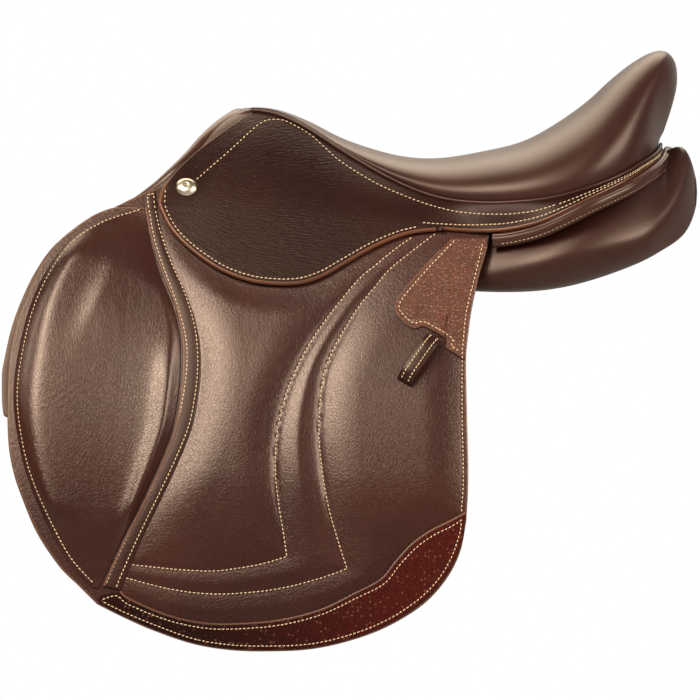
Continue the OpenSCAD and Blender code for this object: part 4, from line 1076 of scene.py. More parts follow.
# %% Flap top, nailed to the tree behind the skirt
HEAD_EDGE = [[114, 206.8], [121, 203.4], [128, 199.8], [134, 197], [141, 193.6], [149, 189.8], [157, 187],
             [166, 185.5]]
head_edge = even(HEAD_EDGE, 61)
head_row = np.maximum(flap_line(head_edge[:, 0]) - FLAP_GAP, head_edge[:, 1] + 0.5)
head_low = np.stack([head_edge[:, 0], head_row], -1)
top_v = np.linspace(0, 1, 15)[None, :, None]
head_px = head_edge[:, None] * (1 - top_v) + head_low[:, None] * top_v
top_columns = np.linspace(166, 489, 90)
high = np.stack([top_columns, fold_row(top_columns) - 5.0], -1)[:, None]
low = np.stack([top_columns, flap_line(top_columns) - FLAP_GAP], -1)[:, None]
top_px = np.concatenate([head_px, (high * (1 - top_v) + low * top_v)[1:]])
flap_top = leather_sheet("flap_top_leather_left", on_shell(FLAP_OUT, top_px), FLAP_T, edge=0)
edge_attribute(flap_top, [HEAD_EDGE])
both_sides(flap_top, "flap_top_leather_SIDE", "root", FLAP_LEATHER, ["flap_top_SIDE"])
print("flap top ready")

# %% [markdown]
# ## Padded insert, strip, hem trim and patch
# The front of the flap carries a padded insert, a long lens that the rider's knee bears on. It rises steeply from its
# front seam and flows into the corded strip behind it. The strip, the pebbled hem trim and the pebbled patch are thin
# leather sewn on the flap, so each is a net between its two drawn edges, one leather thickness above the flap.

# %% Outline and profile of the insert
INSERT_FRONT = [[137, 208.5], [100, 221], [70, 240], [47, 269], [30, 306], [19, 350], [14, 391], [17, 429],
                [27, 473], [45, 517], [68, 559], [93, 586]]
INSERT_REAR = [[144, 208.5], [150, 239], [160, 274], [173, 306], [180, 335], [181, 362], [179, 394], [172, 432],
               [158, 467], [141, 503], [123, 538], [99, 588]]
INSERT_CROWN, INSERT_LIFT, INSERT_T = 10.6, 0.9, 1.1
RIDGE_AT, RIDGE_RISE, FOLD_RISE, CREASE_RISE = 0.925, 0.3, 2.2, 0.07
FOLD_AT, FOLD_COS, FOLD_SIN = (101, 298), 0.906, 0.42
CREASES = (52, 408, 22, -0.3, 6.0), (150, 330, 20, -0.25, 5.5), (66, 392, 30, -0.55, 8.0)
PROFILE_AT = [0, 0.03, 0.06, 0.09, 0.12, 0.15, 0.19, 0.25, 0.34, 0.44, 0.55, 0.66, 0.75, 0.81, 0.94, 0.97, 1]
PROFILE = [0, 0.34, 0.62, 0.82, 0.94, 1.0, 1.0, 0.955, 0.87, 0.77, 0.675, 0.6, 0.565, 0.55, 0.5, 0.34, 0]
insert_px, _ = net_between(INSERT_FRONT, INSERT_REAR, 201, 120)
insert_column, insert_row = insert_px[..., 0], insert_px[..., 1]
front_gap, rear_gap = line_distance(insert_px, INSERT_FRONT), line_distance(insert_px, INSERT_REAR)
full_width = front_gap + rear_gap
w = front_gap / np.maximum(full_width, 1e-6)
detail = ease(full_width, 45, 85) * (1 - ease(insert_row, 510, 575))
fine_at = np.linspace(0, 1, 401)
fine_profile = np.interp(fine_at, PROFILE_AT, PROFILE)
smear = np.exp(-0.5 * (np.arange(-24, 25) / 6) ** 2)
longer = np.pad(fine_profile, 24, mode="reflect", reflect_type="odd")
fine_profile = np.convolve(longer, smear / smear.sum(), "valid")
print("profile of the insert read at", len(fine_at), "places")

# %% Insert
dome = np.sin(np.pi * np.clip(w, 0, 1)) ** 0.6
rear_ridge = RIDGE_RISE * np.exp(-((w - RIDGE_AT) / np.where(w < RIDGE_AT, 0.075, 0.035)) ** 2)
rear_ridge = rear_ridge * ease(insert_row, 325, 385)
shape = (np.interp(w, fine_at, fine_profile) + rear_ridge) * detail + dome * 0.75 * (1 - detail)
room = ease(full_width, 6, 80)
du, dv = insert_column - FOLD_AT[0], insert_row - FOLD_AT[1]
off, down = du * FOLD_COS + dv * FOLD_SIN, dv * FOLD_COS - du * FOLD_SIN
fold = np.exp(-(off / np.where(off < 0, 13, 45)) ** 2 - (down / 42) ** 2)
creases = np.zeros(insert_px.shape[:2])
for column, row, reach, tilt, pitch in CREASES:
    du, dv = insert_column - column, insert_row - row
    window = np.exp(-((du / reach) ** 2 + (dv / (reach * 0.7)) ** 2))
    creases += CREASE_RISE * window * np.sin((dv - tilt * du + 2 * np.sin(du / 9)) * 2 * math.pi / pitch)
swell = INSERT_CROWN * shape * room + FOLD_RISE * fold * detail
insert_points = on_shell(FLAP_OUT + INSERT_LIFT + swell + creases * detail, insert_px)
insert = leather_sheet("knee_insert_left", insert_points, INSERT_T, edge=0.5)
both_sides(insert, "knee_insert_SIDE", "flap_SIDE", INSERT_LEATHER, ["insert_SIDE"],
           lambda p: p)
print("insert crown %.1f mm" % float(swell.max()))

# %% Strip and trim
SEWN_T, SEWN_LIFT, SEWN_EDGE, STRIP_CROWN = 1.2, 0.25, 0.35, 0.7


def sewn_piece(stem, front, back, count, across, material, slot, node, body="flap_SIDE", crown=0.0):
    """Thin leather between two drawn edges, sewn on the flap."""
    px, w = net_between(front, back, count, across)
    r = FLAP_OUT + flap_height(px) + SEWN_LIFT + SEWN_T + crown * np.sin(np.pi * w) ** 0.7
    obj = leather_sheet(stem.replace("SIDE", "left"), on_shell(r, px), SEWN_T, edge=SEWN_EDGE)
    both_sides(obj, stem, body, material, node)


def seam_cord(stem, line, radius, lift):
    """Thin rolled edge along a drawn line on the flap."""
    px = even(line, 160)
    obj = tube(stem.replace("SIDE", "left"), on_shell(FLAP_OUT + flap_height(px) + lift, px), radius, sides=8)
    both_sides(obj, stem, "flap_SIDE", CORD_LEATHER, (), lambda p: p)


sewn_piece("seam_strip_SIDE", STRIP_FRONT, STRIP_REAR, 220, 12, STRIP_LEATHER, "flap_leather", ["strip_SIDE"],
           crown=STRIP_CROWN)
STRIP_HEAD = [[143.2, 194.2], [143.6, 200], [145.4, 208.2]], [[155.6, 190], [156, 199], [157, 209]]
sewn_piece("strip_head_SIDE", *STRIP_HEAD, 30, 12, STRIP_LEATHER, "flap_leather", (), body="root", crown=STRIP_CROWN)
sewn_piece("hem_trim_SIDE", TRIM_TOP, TRIM_HEM, 260, 16, TRIM_LEATHER, "grain_leather", ["trim_SIDE"])
seam_cord("strip_cord_SIDE", STRIP_FRONT, 1.25, 1.2)
seam_cord("trim_cord_SIDE", [[p[0], p[1] - 1.2] for p in TRIM_TOP[2:]], 1.1, 1.2)
print("strip and trim sewn on")

# %% Rear patch
PATCH_FRONT = [[452, 238], [440, 250], [424, 267], [409, 284], [398, 298], [395, 307], [397, 314], [404, 322]]
PATCH_BACK = [[488, 238], [486, 248], [478, 275], [471, 307], [467, 335], [465.5, 350], [464, 359]]
PATCH_FOOT = [[404, 322], [409, 326], [415, 328], [420, 326.5], [425, 326], [436, 332], [446.5, 338.5],
              [448.5, 342], [446, 347], [455, 353], [464, 359]]
patch_px = patch([[452, 238], [469, 238], [488, 238]], PATCH_FOOT, PATCH_FRONT, PATCH_BACK, 70, 80)
patch_r = FLAP_OUT + flap_height(patch_px) + SEWN_LIFT + SEWN_T
patch_sheet = leather_sheet("rear_patch_left", on_shell(patch_r, patch_px), SEWN_T, edge=SEWN_EDGE)
both_sides(patch_sheet, "rear_patch_SIDE", "flap_SIDE", PATCH_LEATHER, ["patch_SIDE"])
seam_cord("patch_cord_SIDE", PATCH_FRONT[1:] + PATCH_FOOT[1:], 0.8, 0.9)
print("patch sewn on")

# %% [markdown]
# ## Keeper
# The keeper is a short strap that stands off the flap as a loop; the girth strap's end is tucked through it. Both
# ends dive into slits in the flap. Its side view is an arch, swept across the width of the strap.

# %% Keeper loop
KEEPER_AT, KEEPER_TURN = np.array([419.5, 360.5]), math.radians(-57)
arch = np.array([[-25.5, -1.5], [-24.9, 2.4], [-22.6, 6.6], [-18.6, 9.6], [-12, 11.0], [0, 11.4], [12, 11.0],
                 [18.6, 9.6], [22.6, 6.6], [24.9, 2.4], [25.5, -1.5]])
arch_line = even(arch, 61)
KEEPER_HALF, KEEPER_T, KEEPER_EDGE, KEEPER_SAG = 7.5, 4.2, 1.4, 0.9
kx = np.linspace(-KEEPER_HALF, KEEPER_HALF, 17)
keeper_lean = float(lean_at(sz(KEEPER_AT[1]), FLAP_OUT))
centre = on_shell(FLAP_OUT + float(flap_height(KEEPER_AT)), KEEPER_AT)
out_dir = np.array([0, -math.cos(keeper_lean), math.sin(keeper_lean)])
up_dir = np.array([0, math.sin(keeper_lean), math.cos(keeper_lean)])
fore = np.array([1.0, 0, 0])
strap_dir = fore * math.cos(KEEPER_TURN) - up_dir * math.sin(KEEPER_TURN)
cross_dir = fore * math.sin(KEEPER_TURN) + up_dir * math.cos(KEEPER_TURN)
keeper_points = (centre + arch_line[:, None, :1] * strap_dir + arch_line[:, None, 1:] * out_dir
                 + kx[None, :, None] * cross_dir - KEEPER_SAG * (kx[None, :, None] / KEEPER_HALF) ** 2 * out_dir)
keeper = leather_sheet("keeper_loop_left", keeper_points, KEEPER_T, edge=KEEPER_EDGE, inner=out_dir)
both_sides(keeper, "keeper_loop_SIDE", "flap_SIDE", STRIP_LEATHER, ["keeper_SIDE"])
print("keeper stands %.1f mm off the flap" % arch[:, 1].max())

# %% [markdown]
# ## Pommel roll, front facing and rear band
# A padded roll edges the front arch, and a leather facing closes the arch between roll and seat. Under the tail, a
# second roll runs round the cantle over the top of the panels, with a row of stitching along it.

# %% Rolls
ROLL_PX = [[238.3, 117.3], [234.3, 119.3], [222, 127.3], [206, 140.5], [191.5, 156], [176, 171], [160, 184.5],
           [147, 193.2], [134, 201], [122, 207]]
ROLL_SHARES = np.array([0, 0.13, 0.26, 0.4, 0.51, 0.585, 0.62, 0.65, 0.68, 0.7])
ROLL_RADII = np.array([9.6, 9.4, 8.8, 7.8, 7.0, 6.6, 5.6, 4.4, 3.2, 2.0])
roll_u = np.linspace(0, len(ROLL_PX) - 1, 80)
roll_px = along(ROLL_PX, roll_u)
roll_left = np.stack([sx(roll_px[:, 0]), -TAIL_HALF * along(ROLL_SHARES, roll_u), sz(roll_px[:, 1])], -1)
roll_r = along(ROLL_RADII, roll_u)
roll_path = np.concatenate([roll_left[::-1], (roll_left * MIRROR)[1:]])
roll_radii = np.concatenate([roll_r[::-1], roll_r[1:]])
roll = tube("pommel_roll_leather", roll_path, roll_radii, sides=24, side_hint=(1.0, 0.0, 0.3))
finish_piece(roll, "root", ROLL_LEATHER, ["pommel_roll"])
print("roll ends at", roll_left[-1].round(1))

# %% Facing of the pommel
FACING_T, LINING_T = 2.0, 1.5
face_w = np.linspace(-1, 1, 97)
rib = seat_net(np.array([0.0]), 1 + face_w, 0.0)[0]
roll_at = np.abs(face_w) * 2.0
top_of_roll = np.stack([np.interp(roll_at, roll_u, roll_left[:, 0]) + 1.0,
                        np.interp(roll_at, roll_u, -roll_left[:, 1]) * np.sign(face_w),
                        np.interp(roll_at, roll_u, roll_left[:, 2]) + 6.6], -1)
face_v = np.linspace(0, 1, 17)[None, :, None]
facing_points = (rib[:, None] * (1 - face_v) + top_of_roll[:, None] * face_v
                 + UP * (1.6 * np.sin(np.pi * face_v)) + np.array([0.6, 0, -0.25]) * (1 - face_v))
facing = leather_sheet("pommel_facing", facing_points, FACING_T, edge=0, inner=UP)
finish_piece(facing, "root", ROLL_LEATHER)
print("facing: %d faces" % len(facing.data.polygons))

# %% Lining beside the pommel
side_t = np.linspace(0.0, 1.0, 80)
yoke_front = yoke_net(np.array([0.0, 0.25]), side_t)
under_yoke = yoke_front[1] + np.array([0, 2.2, -0.6])
roll_run = np.linspace(1.96, 8.0, 80)
roll_side = np.stack([np.interp(roll_run, roll_u, roll_left[:, k]) for k in range(3)], -1)
roll_side += np.array([1.0, 0, 6.2]) * (1 - ease(roll_run, 2.0, 5.0))[:, None] + np.array([0, -2.0, 1.0])
lining_v = np.linspace(0, 1, 9)[None, :, None]
lining_points = roll_side[:, None] * (1 - lining_v) + under_yoke[:, None] * lining_v
lining_points = lining_points + np.array([-0.9, -1.2, 0.9]) * np.sin(np.pi * lining_v)
lining_points = np.concatenate([facing_points[:1, ::-2], lining_points])
lining = leather_sheet("front_lining_left", lining_points, LINING_T, edge=0, inner=np.array([-0.6, -0.6, 0.5]))
both_sides(lining, "front_lining_SIDE", "root", LINING_LEATHER)
print("pommel closed")

# %% Rear band
BAND_R, RIM_R, BAND_START = 6.2, 1.9, 10.68
BAND_DROP, REAR_RISE, BAND_SIDE = 10.6, 6.2, 3.4
s = np.linspace(0, 1, 110)
band_row = BAND_START + (YOKE_LAST - BAND_START) * s
band_base, band_out = along(yoke_bases, band_row), welt_out(yoke_welt(band_row))
band_drop = BAND_DROP * (1 - 0.4 * s * s) - REAR_RISE * ease(s, 0.72, 1.0)
band_side = BAND_SIDE * ease(s, 0.0, 0.7) - SKIRT_T / 2 * (1 - s)
band_left = band_base + band_out * band_side[:, None] - UP * band_drop[:, None]
band_left[-1, 1] = 0


def whole_way_round(left):
    """A left path, continued by its mirror image."""
    return np.concatenate([left, (left * MIRROR)[-2::-1]])


band = tube("rear_band_leather", whole_way_round(band_left), BAND_R, sides=24, flat=(0.72, 1.02))
finish_piece(band, "root", ROLL_LEATHER, ["rear_band"])
band_rim = band_left + band_out * BAND_R * 0.42 + UP * BAND_R * 0.62
band_rim[-1, 1] = 0
rim_roll = tube("rear_band_rim", whole_way_round(band_rim), RIM_R, sides=10)
finish_piece(rim_roll, "root", ROLL_LEATHER)
print("rear band ends at", band_left[-1].round(1))

# %% [markdown]
# ## Panels
# The panels are stuffed cushions, one each side of the spine. Each is a closed form through cross sections from the
# front to the plump rear end, drawn finer than the frame's own solid so that it is full and round.

# %% Cross sections of a panel
PANEL_HALF, SWEAT_CLEAR, FLAP_CLEAR = 150.0, 0.4, 1.2
PANEL_COLUMNS = np.array([200, 212, 290, 380, 450, 490, 540, 590, 640, 664, 681, 691, 697], float)
PANEL_ROWS = np.array([
    [219, 219, 232, 247, 240, 228], [212, 213, 236, 262, 246, 224], [209, 211, 240, 268, 244, 216],
    [203, 216, 250, 280, 258, 222], [202, 222, 260, 288, 270, 228], [206, 228, 266, 291, 277, 232],
    [204, 226, 260, 289.5, 280, 235], [194, 205, 247, 280, 271, 228], [176, 176, 234, 261, 253, 214],
    [160, 157, 214, 248, 240, 206], [153, 147.5, 194, 236, 229, 198], [159, 156, 190, 224, 219, 194],
    [176, 175, 192, 208.5, 206, 192]])
PANEL_SHARES = np.array([
    [0.42, 0.54, 0.72, 0.66, 0.5, 0.44], [0.36, 0.54, 0.78, 0.75, 0.54, 0.38], [0.28, 0.53, 0.8, 0.78, 0.47, 0.29],
    [0.24, 0.57, 0.82, 0.82, 0.48, 0.25], [0.235, 0.62, 0.84, 0.85, 0.5, 0.24], [0.235, 0.7, 0.89, 0.85, 0.53, 0.24],
    [0.24, 0.77, 0.99, 0.89, 0.56, 0.25], [0.25, 0.77, 0.98, 0.86, 0.56, 0.26], [0.24, 0.6, 0.86, 0.74, 0.5, 0.25],
    [0.17, 0.28, 0.69, 0.61, 0.42, 0.21], [0.16, 0.28, 0.53, 0.48, 0.35, 0.2], [0.2, 0.31, 0.41, 0.39, 0.31, 0.22],
    [0.24, 0.27, 0.31, 0.31, 0.28, 0.25]])
panel_u = np.linspace(0, len(PANEL_COLUMNS) - 1, 157)
panel_a = np.linspace(0, 6, 73)
columns = settle(PANEL_COLUMNS, 0.2)(panel_u)
rows, shares = settle(PANEL_ROWS, 0.35)(panel_u), settle(PANEL_SHARES, 0.35)(panel_u)


def ring_value(table):
    """Smooth closed ring through the six numbers of each cross section."""
    closed = np.concatenate([table[:, -1:], table, table[:, :2]], 1)
    i = np.minimum(np.floor(panel_a).astype(int), 5)
    f = panel_a - i
    return between(*(closed[:, i + k] for k in range(4)), f)


panel_z = sz(ring_value(rows))
panel_y = PANEL_HALF * ring_value(shares)
column_grid = np.broadcast_to(columns[:, None], panel_z.shape)
inner_r, outer_r = SWEAT_IN - SWEAT_CLEAR, FLAP_IN - FLAP_CLEAR
limit_r = inner_r + (outer_r - inner_r) * ease(column_grid, 462, 480)
limit = -(AXIS_Y - np.sqrt(limit_r ** 2 - (panel_z - AXIS_Z) ** 2))
panel_y = np.minimum(panel_y, np.where(column_grid > 495, PANEL_HALF + 2, limit))
panel_points = np.stack([sx(column_grid), -panel_y, panel_z], -1)
print("rings of a panel:", len(panel_points))

# %% Panels
def closed_form(name, rings):
    """Closed body through rings, with its two ends drawn together."""
    first, last = rings[0].mean(0), rings[-1].mean(0)
    ends = [rings[0] * s + first * (1 - s) for s in (0.0, 0.4, 0.75)]
    back = [rings[-1] * s + last * (1 - s) for s in (0.75, 0.4, 0.0)]
    for k, push in enumerate((1.0, 1.6, 1.9)):
        back[k] = back[k] + np.array([push, 0, 0])
    obj = grid_object(name, np.concatenate([np.array(ends), rings, np.array(back)]))
    merge_points(obj)
    turn_faces_out(obj)
    smooth_by_angle(obj, 70)
    return obj


panel = closed_form("panel_cushion_left", panel_points)
both_sides(panel, "panel_cushion_SIDE", "root", PANEL_LEATHER, ["panel_SIDE"],
           lambda p: p)
print("panels stuffed")

# %% [markdown]
# ## Under the flap
# The sweat flap keeps the girth straps off the horse, and its front edge shows beyond the flap. On it sit a knee
# block and a thigh block, and the girth straps hang from webs sewn to its head. A strap is modelled flat with its
# punched holes, and each copy is then laid on the cylinder of its layer.

# %% Sweat flap
SWEAT_FRONT = [[140, 206], [96, 219], [59, 240], [34, 273], [14, 319], [4, 361], [2, 380], [4, 414], [15, 417],
               [20, 445], [42, 505], [75, 555], [115, 592]]
SWEAT_HEM = [[115, 592], [175, 620], [250, 634], [330, 628], [395, 596], [438, 545]]
SWEAT_REAR = [[436, 230], [440, 300], [450, 380], [452, 480], [438, 545]]
sweat_px = patch([[140, 206], [240, 214], [340, 222], [436, 230]], SWEAT_HEM, SWEAT_FRONT, SWEAT_REAR, 110, 120)
settle_net(sweat_px, 200)
sweat = leather_sheet("sweat_flap_leather_left", on_shell(SWEAT_OUT, sweat_px), SWEAT_T, edge=0.8)
edge_attribute(sweat, [SWEAT_FRONT, SWEAT_HEM])
both_sides(sweat, "sweat_flap_leather_SIDE", "root", LINING_LEATHER, ["sweat_flap_SIDE"])
print("sweat flap: %d faces" % len(sweat.data.polygons))

# %% Knee and thigh blocks
BLOCK_RISE, BLOCK_RIM, BLOCK_FOOT = 10.6, 0.4, 0.15
KNEE_FRONT = [[94, 238], [74, 244], [42, 290], [20, 350], [16, 395], [26, 445], [46, 505], [72, 545]]
KNEE_REAR = [[98, 240], [108, 248], [88, 285], [70, 340], [66, 400], [72, 470], [88, 530], [76, 546]]
THIGH_FRONT = [[438, 419], [434, 430], [427, 470], [421, 530], [426, 549]]
THIGH_REAR = [[442, 418], [448, 440], [446, 490], [436, 538], [429, 549]]


def block(stem, front, back, rows_down, across, node):
    """Cushion between two drawn edges, fastened on the sweat flap."""
    px, w = net_between(front, back, rows_down, across)
    tv = np.linspace(0, 1, rows_down)[None, :]
    rise = BLOCK_RISE * (np.sin(np.pi * w) ** 0.45) * (np.sin(np.pi * tv) ** 0.35)
    outer = on_shell(SWEAT_OUT + BLOCK_RIM + rise, px)
    inner = on_shell(np.full(px.shape[:-1], SWEAT_OUT + BLOCK_FOOT), px)
    obj = slab(stem.replace("SIDE", "left"), outer, inner)
    both_sides(obj, stem, "root", LINING_LEATHER, [node], lambda p: p)


block("knee_pad_SIDE", KNEE_FRONT, KNEE_REAR, 60, 20, "knee_block_SIDE")
block("thigh_pad_SIDE", THIGH_FRONT, THIGH_REAR, 40, 14, "thigh_block_SIDE")
print("blocks rise %.1f mm" % BLOCK_RISE)

# %% Strap pattern
BILLETS = {"front": (205, 238), "middle": (290, 242), "rear": (375, 246)}
STRAP_W, STRAP_L, STRAP_HEAD, POINT_FROM = 25.0, 270.0, 9.0, 0.9
HOLES, HOLE_R, HOLE_FIRST, HOLE_STEP = 8, 2.5, 0.36, 20
WEB_LIFT, WEB_T, WEB_GAP = 0.2, 2.0, 0.3
STRAP_OUT = SWEAT_OUT + WEB_LIFT + WEB_T + WEB_GAP + BILLET_T


def flat_strap():
    """One strap on the flat, x across and y along it, cut to a point, with its row of holes."""
    point = STRAP_L * POINT_FROM
    sy = np.concatenate([np.linspace(-STRAP_HEAD, point, 90), np.linspace(point, STRAP_L, 9)[1:]])
    half = STRAP_W / 2 * (1 - 0.6 * np.clip((sy - point) / (STRAP_L - point), 0, 1) ** 1.6)
    x = half[:, None] * np.linspace(-1, 1, 13)[None]
    net = np.stack([x, np.broadcast_to(sy[:, None], x.shape), np.zeros(x.shape)], -1)
    obj = leather_sheet("strap_pattern", net, BILLET_T, edge=0.6, inner=UP)
    cutters = []
    for k in range(HOLES):
        along_strap = (STRAP_L * HOLE_FIRST + HOLE_STEP * k) / MM
        bpy.ops.object.select_all(action="DESELECT")
        bpy.ops.mesh.primitive_cylinder_add(vertices=24, radius=HOLE_R / MM, depth=0.02, location=(0, along_strap, 0))
        cutters.append(bpy.context.object)
    choose(*cutters)
    bpy.ops.object.join()
    punch = bpy.context.object
    cut = obj.modifiers.new("holes", "BOOLEAN")
    cut.object = punch
    cut.operation = "DIFFERENCE"
    cut.solver = "EXACT"
    apply_all(obj)
    bpy.data.objects.remove(punch, do_unlink=True)
    smooth_by_angle(obj, 40)
    return obj


pattern = flat_strap()
print("strap pattern: %d faces" % len(pattern.data.polygons))

# %% Girth straps
flat_co = points_of(pattern) * MM
for which, (column, row) in BILLETS.items():
    strap = new_object("girth_strap_left_" + which, pattern.data.copy())
    z = float(sz(row)) - flat_co[:, 1]
    y = AXIS_Y - np.sqrt((STRAP_OUT + flat_co[:, 2]) ** 2 - (z - AXIS_Z) ** 2)
    place_points(strap, np.stack([float(sx(column)) + flat_co[:, 0], y, z], -1) / MM)
    turn_faces_out(strap)
    twin = right_copy(strap, "girth_strap_right_" + which)
    for piece, side in ((strap, "left"), (twin, "right")):
        finish_piece(piece, f"billet_{side}_{which}", STRAP_LEATHER, [f"billet_{side}_{which}"])
bpy.data.objects.remove(pattern, do_unlink=True)
print("girth straps:", 2 * len(BILLETS))

# %% Girth webs
WEB_L, WEB_ABOVE, WEB_SHARE = 34, 0.65, 1.2
web_parts = []
for which, (column, row) in BILLETS.items():
    half_px = STRAP_W * WEB_SHARE / 2 / PX_X
    wc = np.linspace(column - half_px, column + half_px, 13)
    wr = np.linspace(row - WEB_L * WEB_ABOVE / PX_Z, row + WEB_L * (1 - WEB_ABOVE) / PX_Z, 16)
    px = np.stack(np.meshgrid(wc, wr, indexing="ij"), -1)
    web_parts.append(leather_sheet("web_" + which, on_shell(SWEAT_OUT + WEB_LIFT + WEB_T, px), WEB_T, edge=0.3))
choose(*web_parts)
bpy.ops.object.join()
webs = bpy.context.object
webs.name = webs.data.name = "girth_web_left"
both_sides(webs, "girth_web_SIDE", "root", WEBBING, ["girth_webs_SIDE"],
           lambda p: p)
print("straps and webs hung")

# %% [markdown]
# ## Stitching
# Saddle stitching is done with waxed thread, here six or seven stitches to the inch, and each stitch slants a little.
# A stitch is one small bead of thread, modelled once and copied along the row. Each row is drawn in the side view and
# dropped on the leather from the side, so that it lies in the surface wherever that curves.

# %% One stitch
FLAP_STEP, SKIRT_STEP, STITCH_WIDE = 3.7, 3.9, 0.53
STITCH_HALF, STITCH_FLAT, STITCH_SLANT, STITCH_PROUD = 0.35, 0.75, 0.12, 0.15
RAY_START = -0.6
bpy.ops.object.select_all(action="DESELECT")
bpy.ops.mesh.primitive_uv_sphere_add(segments=6, ring_count=5, radius=1.0, location=(0, 0, 0))
bead = bpy.context.object
bead_co = np.array([vert.co[:] for vert in bead.data.vertices])[:, [2, 0, 1]]
bead_faces = [list(p.vertices) for p in bead.data.polygons]
bpy.data.objects.remove(bead, do_unlink=True)
bead_co = np.sign(bead_co) * np.abs(bead_co) ** np.array([0.8, 1, 1])


def surface(*objs):
    """The left pieces of one body as one surface to drop points on."""
    verts, faces = [], []
    for o in objs:
        base = len(verts)
        verts += [v.co[:] for v in o.data.vertices]
        faces += [[base + i for i in p.vertices] for p in o.data.polygons]
    return BVHTree.FromPolygons(verts, faces)


print("one stitch: %d faces" % len(bead_faces))

# %% Rows of stitches
def drop(tree, px):
    """Points of a side-view row, dropped on a surface from the left, with the surface's slope there."""
    places, normals = [], []
    for column, row in px:
        start = Vector((float(sx(column)) / MM, RAY_START, float(sz(row)) / MM))
        hit, normal, _, _ = tree.ray_cast(start, Vector((0, 1, 0)))
        if hit is not None and normal.y < -0.02:
            places.append(np.array(hit) * MM)
            normals.append(np.array(normal))
    return np.array(places), np.array(normals)


def stitch_points(path, step):
    """Even steps along a row of points."""
    run_length = np.concatenate([[0], np.cumsum(np.linalg.norm(np.diff(path[:, :3], axis=0), axis=1))])
    count = max(2, int(run_length[-1] / step))
    at = (np.arange(count) + 0.5) * run_length[-1] / count
    return np.stack([np.interp(at, run_length, path[:, k]) for k in range(path.shape[1])], -1)


def row_px(line, step):
    """Places of the stitches along a drawn line."""
    dense = even(line, 60 * len(line)) * [PX_X, PX_Z]
    return stitch_points(dense, step) / [PX_X, PX_Z]


def dropped_rows(tree, lines, step):
    """Rows of stitches of drawn lines, dropped on a surface."""
    return [drop(tree, row_px(line, step)) for line in lines]


def stitches(stem, body, rows_of_points, step):
    """All rows of one body as one object on each side. A row is (places, normals). Returns the left count."""
    one = bead_co * [step * STITCH_HALF, STITCH_WIDE, STITCH_WIDE * STITCH_FLAT]
    verts, faces = [], []
    for places, normals in rows_of_points:
        normals = unit(normals)
        tangent = unit(np.gradient(places, axis=0))
        side_way = unit(np.cross(normals, tangent))
        tangent = unit(np.cross(side_way, normals) + side_way * STITCH_SLANT)
        side_way = np.cross(normals, tangent)
        for p, t, sw, n in zip(places, tangent, side_way, normals):
            base = len(verts)
            verts += list((p + n * STITCH_PROUD + one @ np.stack([t, sw, n])) / MM)
            faces += [[base + i for i in f] for f in bead_faces]
    name = stem.replace("SIDE", "left")
    mesh = bpy.data.meshes.new(name)
    mesh.from_pydata([tuple(v) for v in verts], [], faces)
    obj = new_object(name, mesh)
    turn_faces_out(obj)
    mesh.shade_smooth()
    both_sides(obj, stem, body, THREAD)
    return len(faces) // len(bead_faces)


print("row helpers ready")

# %% Rows on the flap
STITCH_1 = [[148.6, 209], [154, 238], [163, 266], [176, 301], [185.6, 336], [187, 368], [181, 409], [171, 444],
            [154, 485], [136, 520], [118, 558], [107, 583]]
STITCH_2 = [[155, 210], [160, 231], [170, 260], [185, 294], [195, 328], [198, 362], [195, 397], [188, 429],
            [173, 465], [155, 503], [138, 538], [123, 572], [117, 587]]
INSERT_STITCH = [[140, 209.2], [131, 211.8], [102, 222], [74, 240], [51, 270], [34, 307], [23, 351], [18, 391],
                 [21, 429], [31, 472], [49, 515], [71, 556], [94, 582]]
TRIM_STITCH_TOP = [[103, 599], [111, 596], [119, 595.6], [130, 604], [169, 619.5], [208, 627.5], [246, 627.5],
                   [284, 623.5], [322, 613.5], [356, 597.5], [384, 583], [399, 565], [415, 548], [432, 535.5],
                   [451, 526], [462, 519]]
TRIM_STITCH_HEM = [[104, 601], [116, 607], [130, 613.5], [158, 625], [195, 638], [233, 644], [271, 645], [310, 643],
                   [346, 635], [382, 621.5], [411, 604], [433, 584.5], [448.5, 562], [458.5, 536], [461, 522]]
PATCH_STITCH = [[455, 240], [443, 252.5], [427, 269.5], [412, 286.5], [402, 299], [399, 307], [401, 312],
                [407, 318.5], [414, 323], [424, 322], [437, 328.5], [449, 336], [453, 341], [451.5, 346],
                [459, 351]]
HEAD_STITCHES = ([[147.6, 195.4], [147.4, 200], [148.4, 208]], [[153.4, 194], [153.6, 200], [154.8, 209]],
                 [[146.6, 194.4], [150, 193.8], [154, 193]])
FLAP_LINES = (LINE_A, LINE_A2, LINE_B, LINE_B2, STITCH_1, STITCH_2, INSERT_STITCH, REAR_STITCH, TRIM_STITCH_TOP,
              TRIM_STITCH_HEM, PATCH_STITCH)
print("rows on the flap:", len(FLAP_LINES))

# %% Stitches of the flap
SEWN_ON = ("flap_leather", "knee_insert", "seam_strip", "hem_trim", "rear_patch")
flap_surface = surface(*(pieces[n + "_left"] for n in SEWN_ON))
flap_rows = dropped_rows(flap_surface, FLAP_LINES, FLAP_STEP)
flat_arch = arch_line[6:-6]
for edge_share in (-0.45, 0.45):
    sag = KEEPER_SAG * edge_share ** 2
    line = (centre + flat_arch[:, :1] * strap_dir + (flat_arch[:, 1:] - sag) * out_dir
            + edge_share * KEEPER_HALF * cross_dir)
    steps = stitch_points(line, FLAP_STEP * 0.9)
    flap_rows.append((steps, np.broadcast_to(out_dir, steps.shape)))
flap_count = stitches("flap_stitches_SIDE", "flap_SIDE", flap_rows, FLAP_STEP)
head_rows = dropped_rows(surface(pieces["strip_head_left"]), HEAD_STITCHES, FLAP_STEP)
head_count = stitches("head_stitches_SIDE", "root", head_rows, FLAP_STEP)
print("stitches: %d on a flap, %d on a strip's head" % (flap_count, head_count))

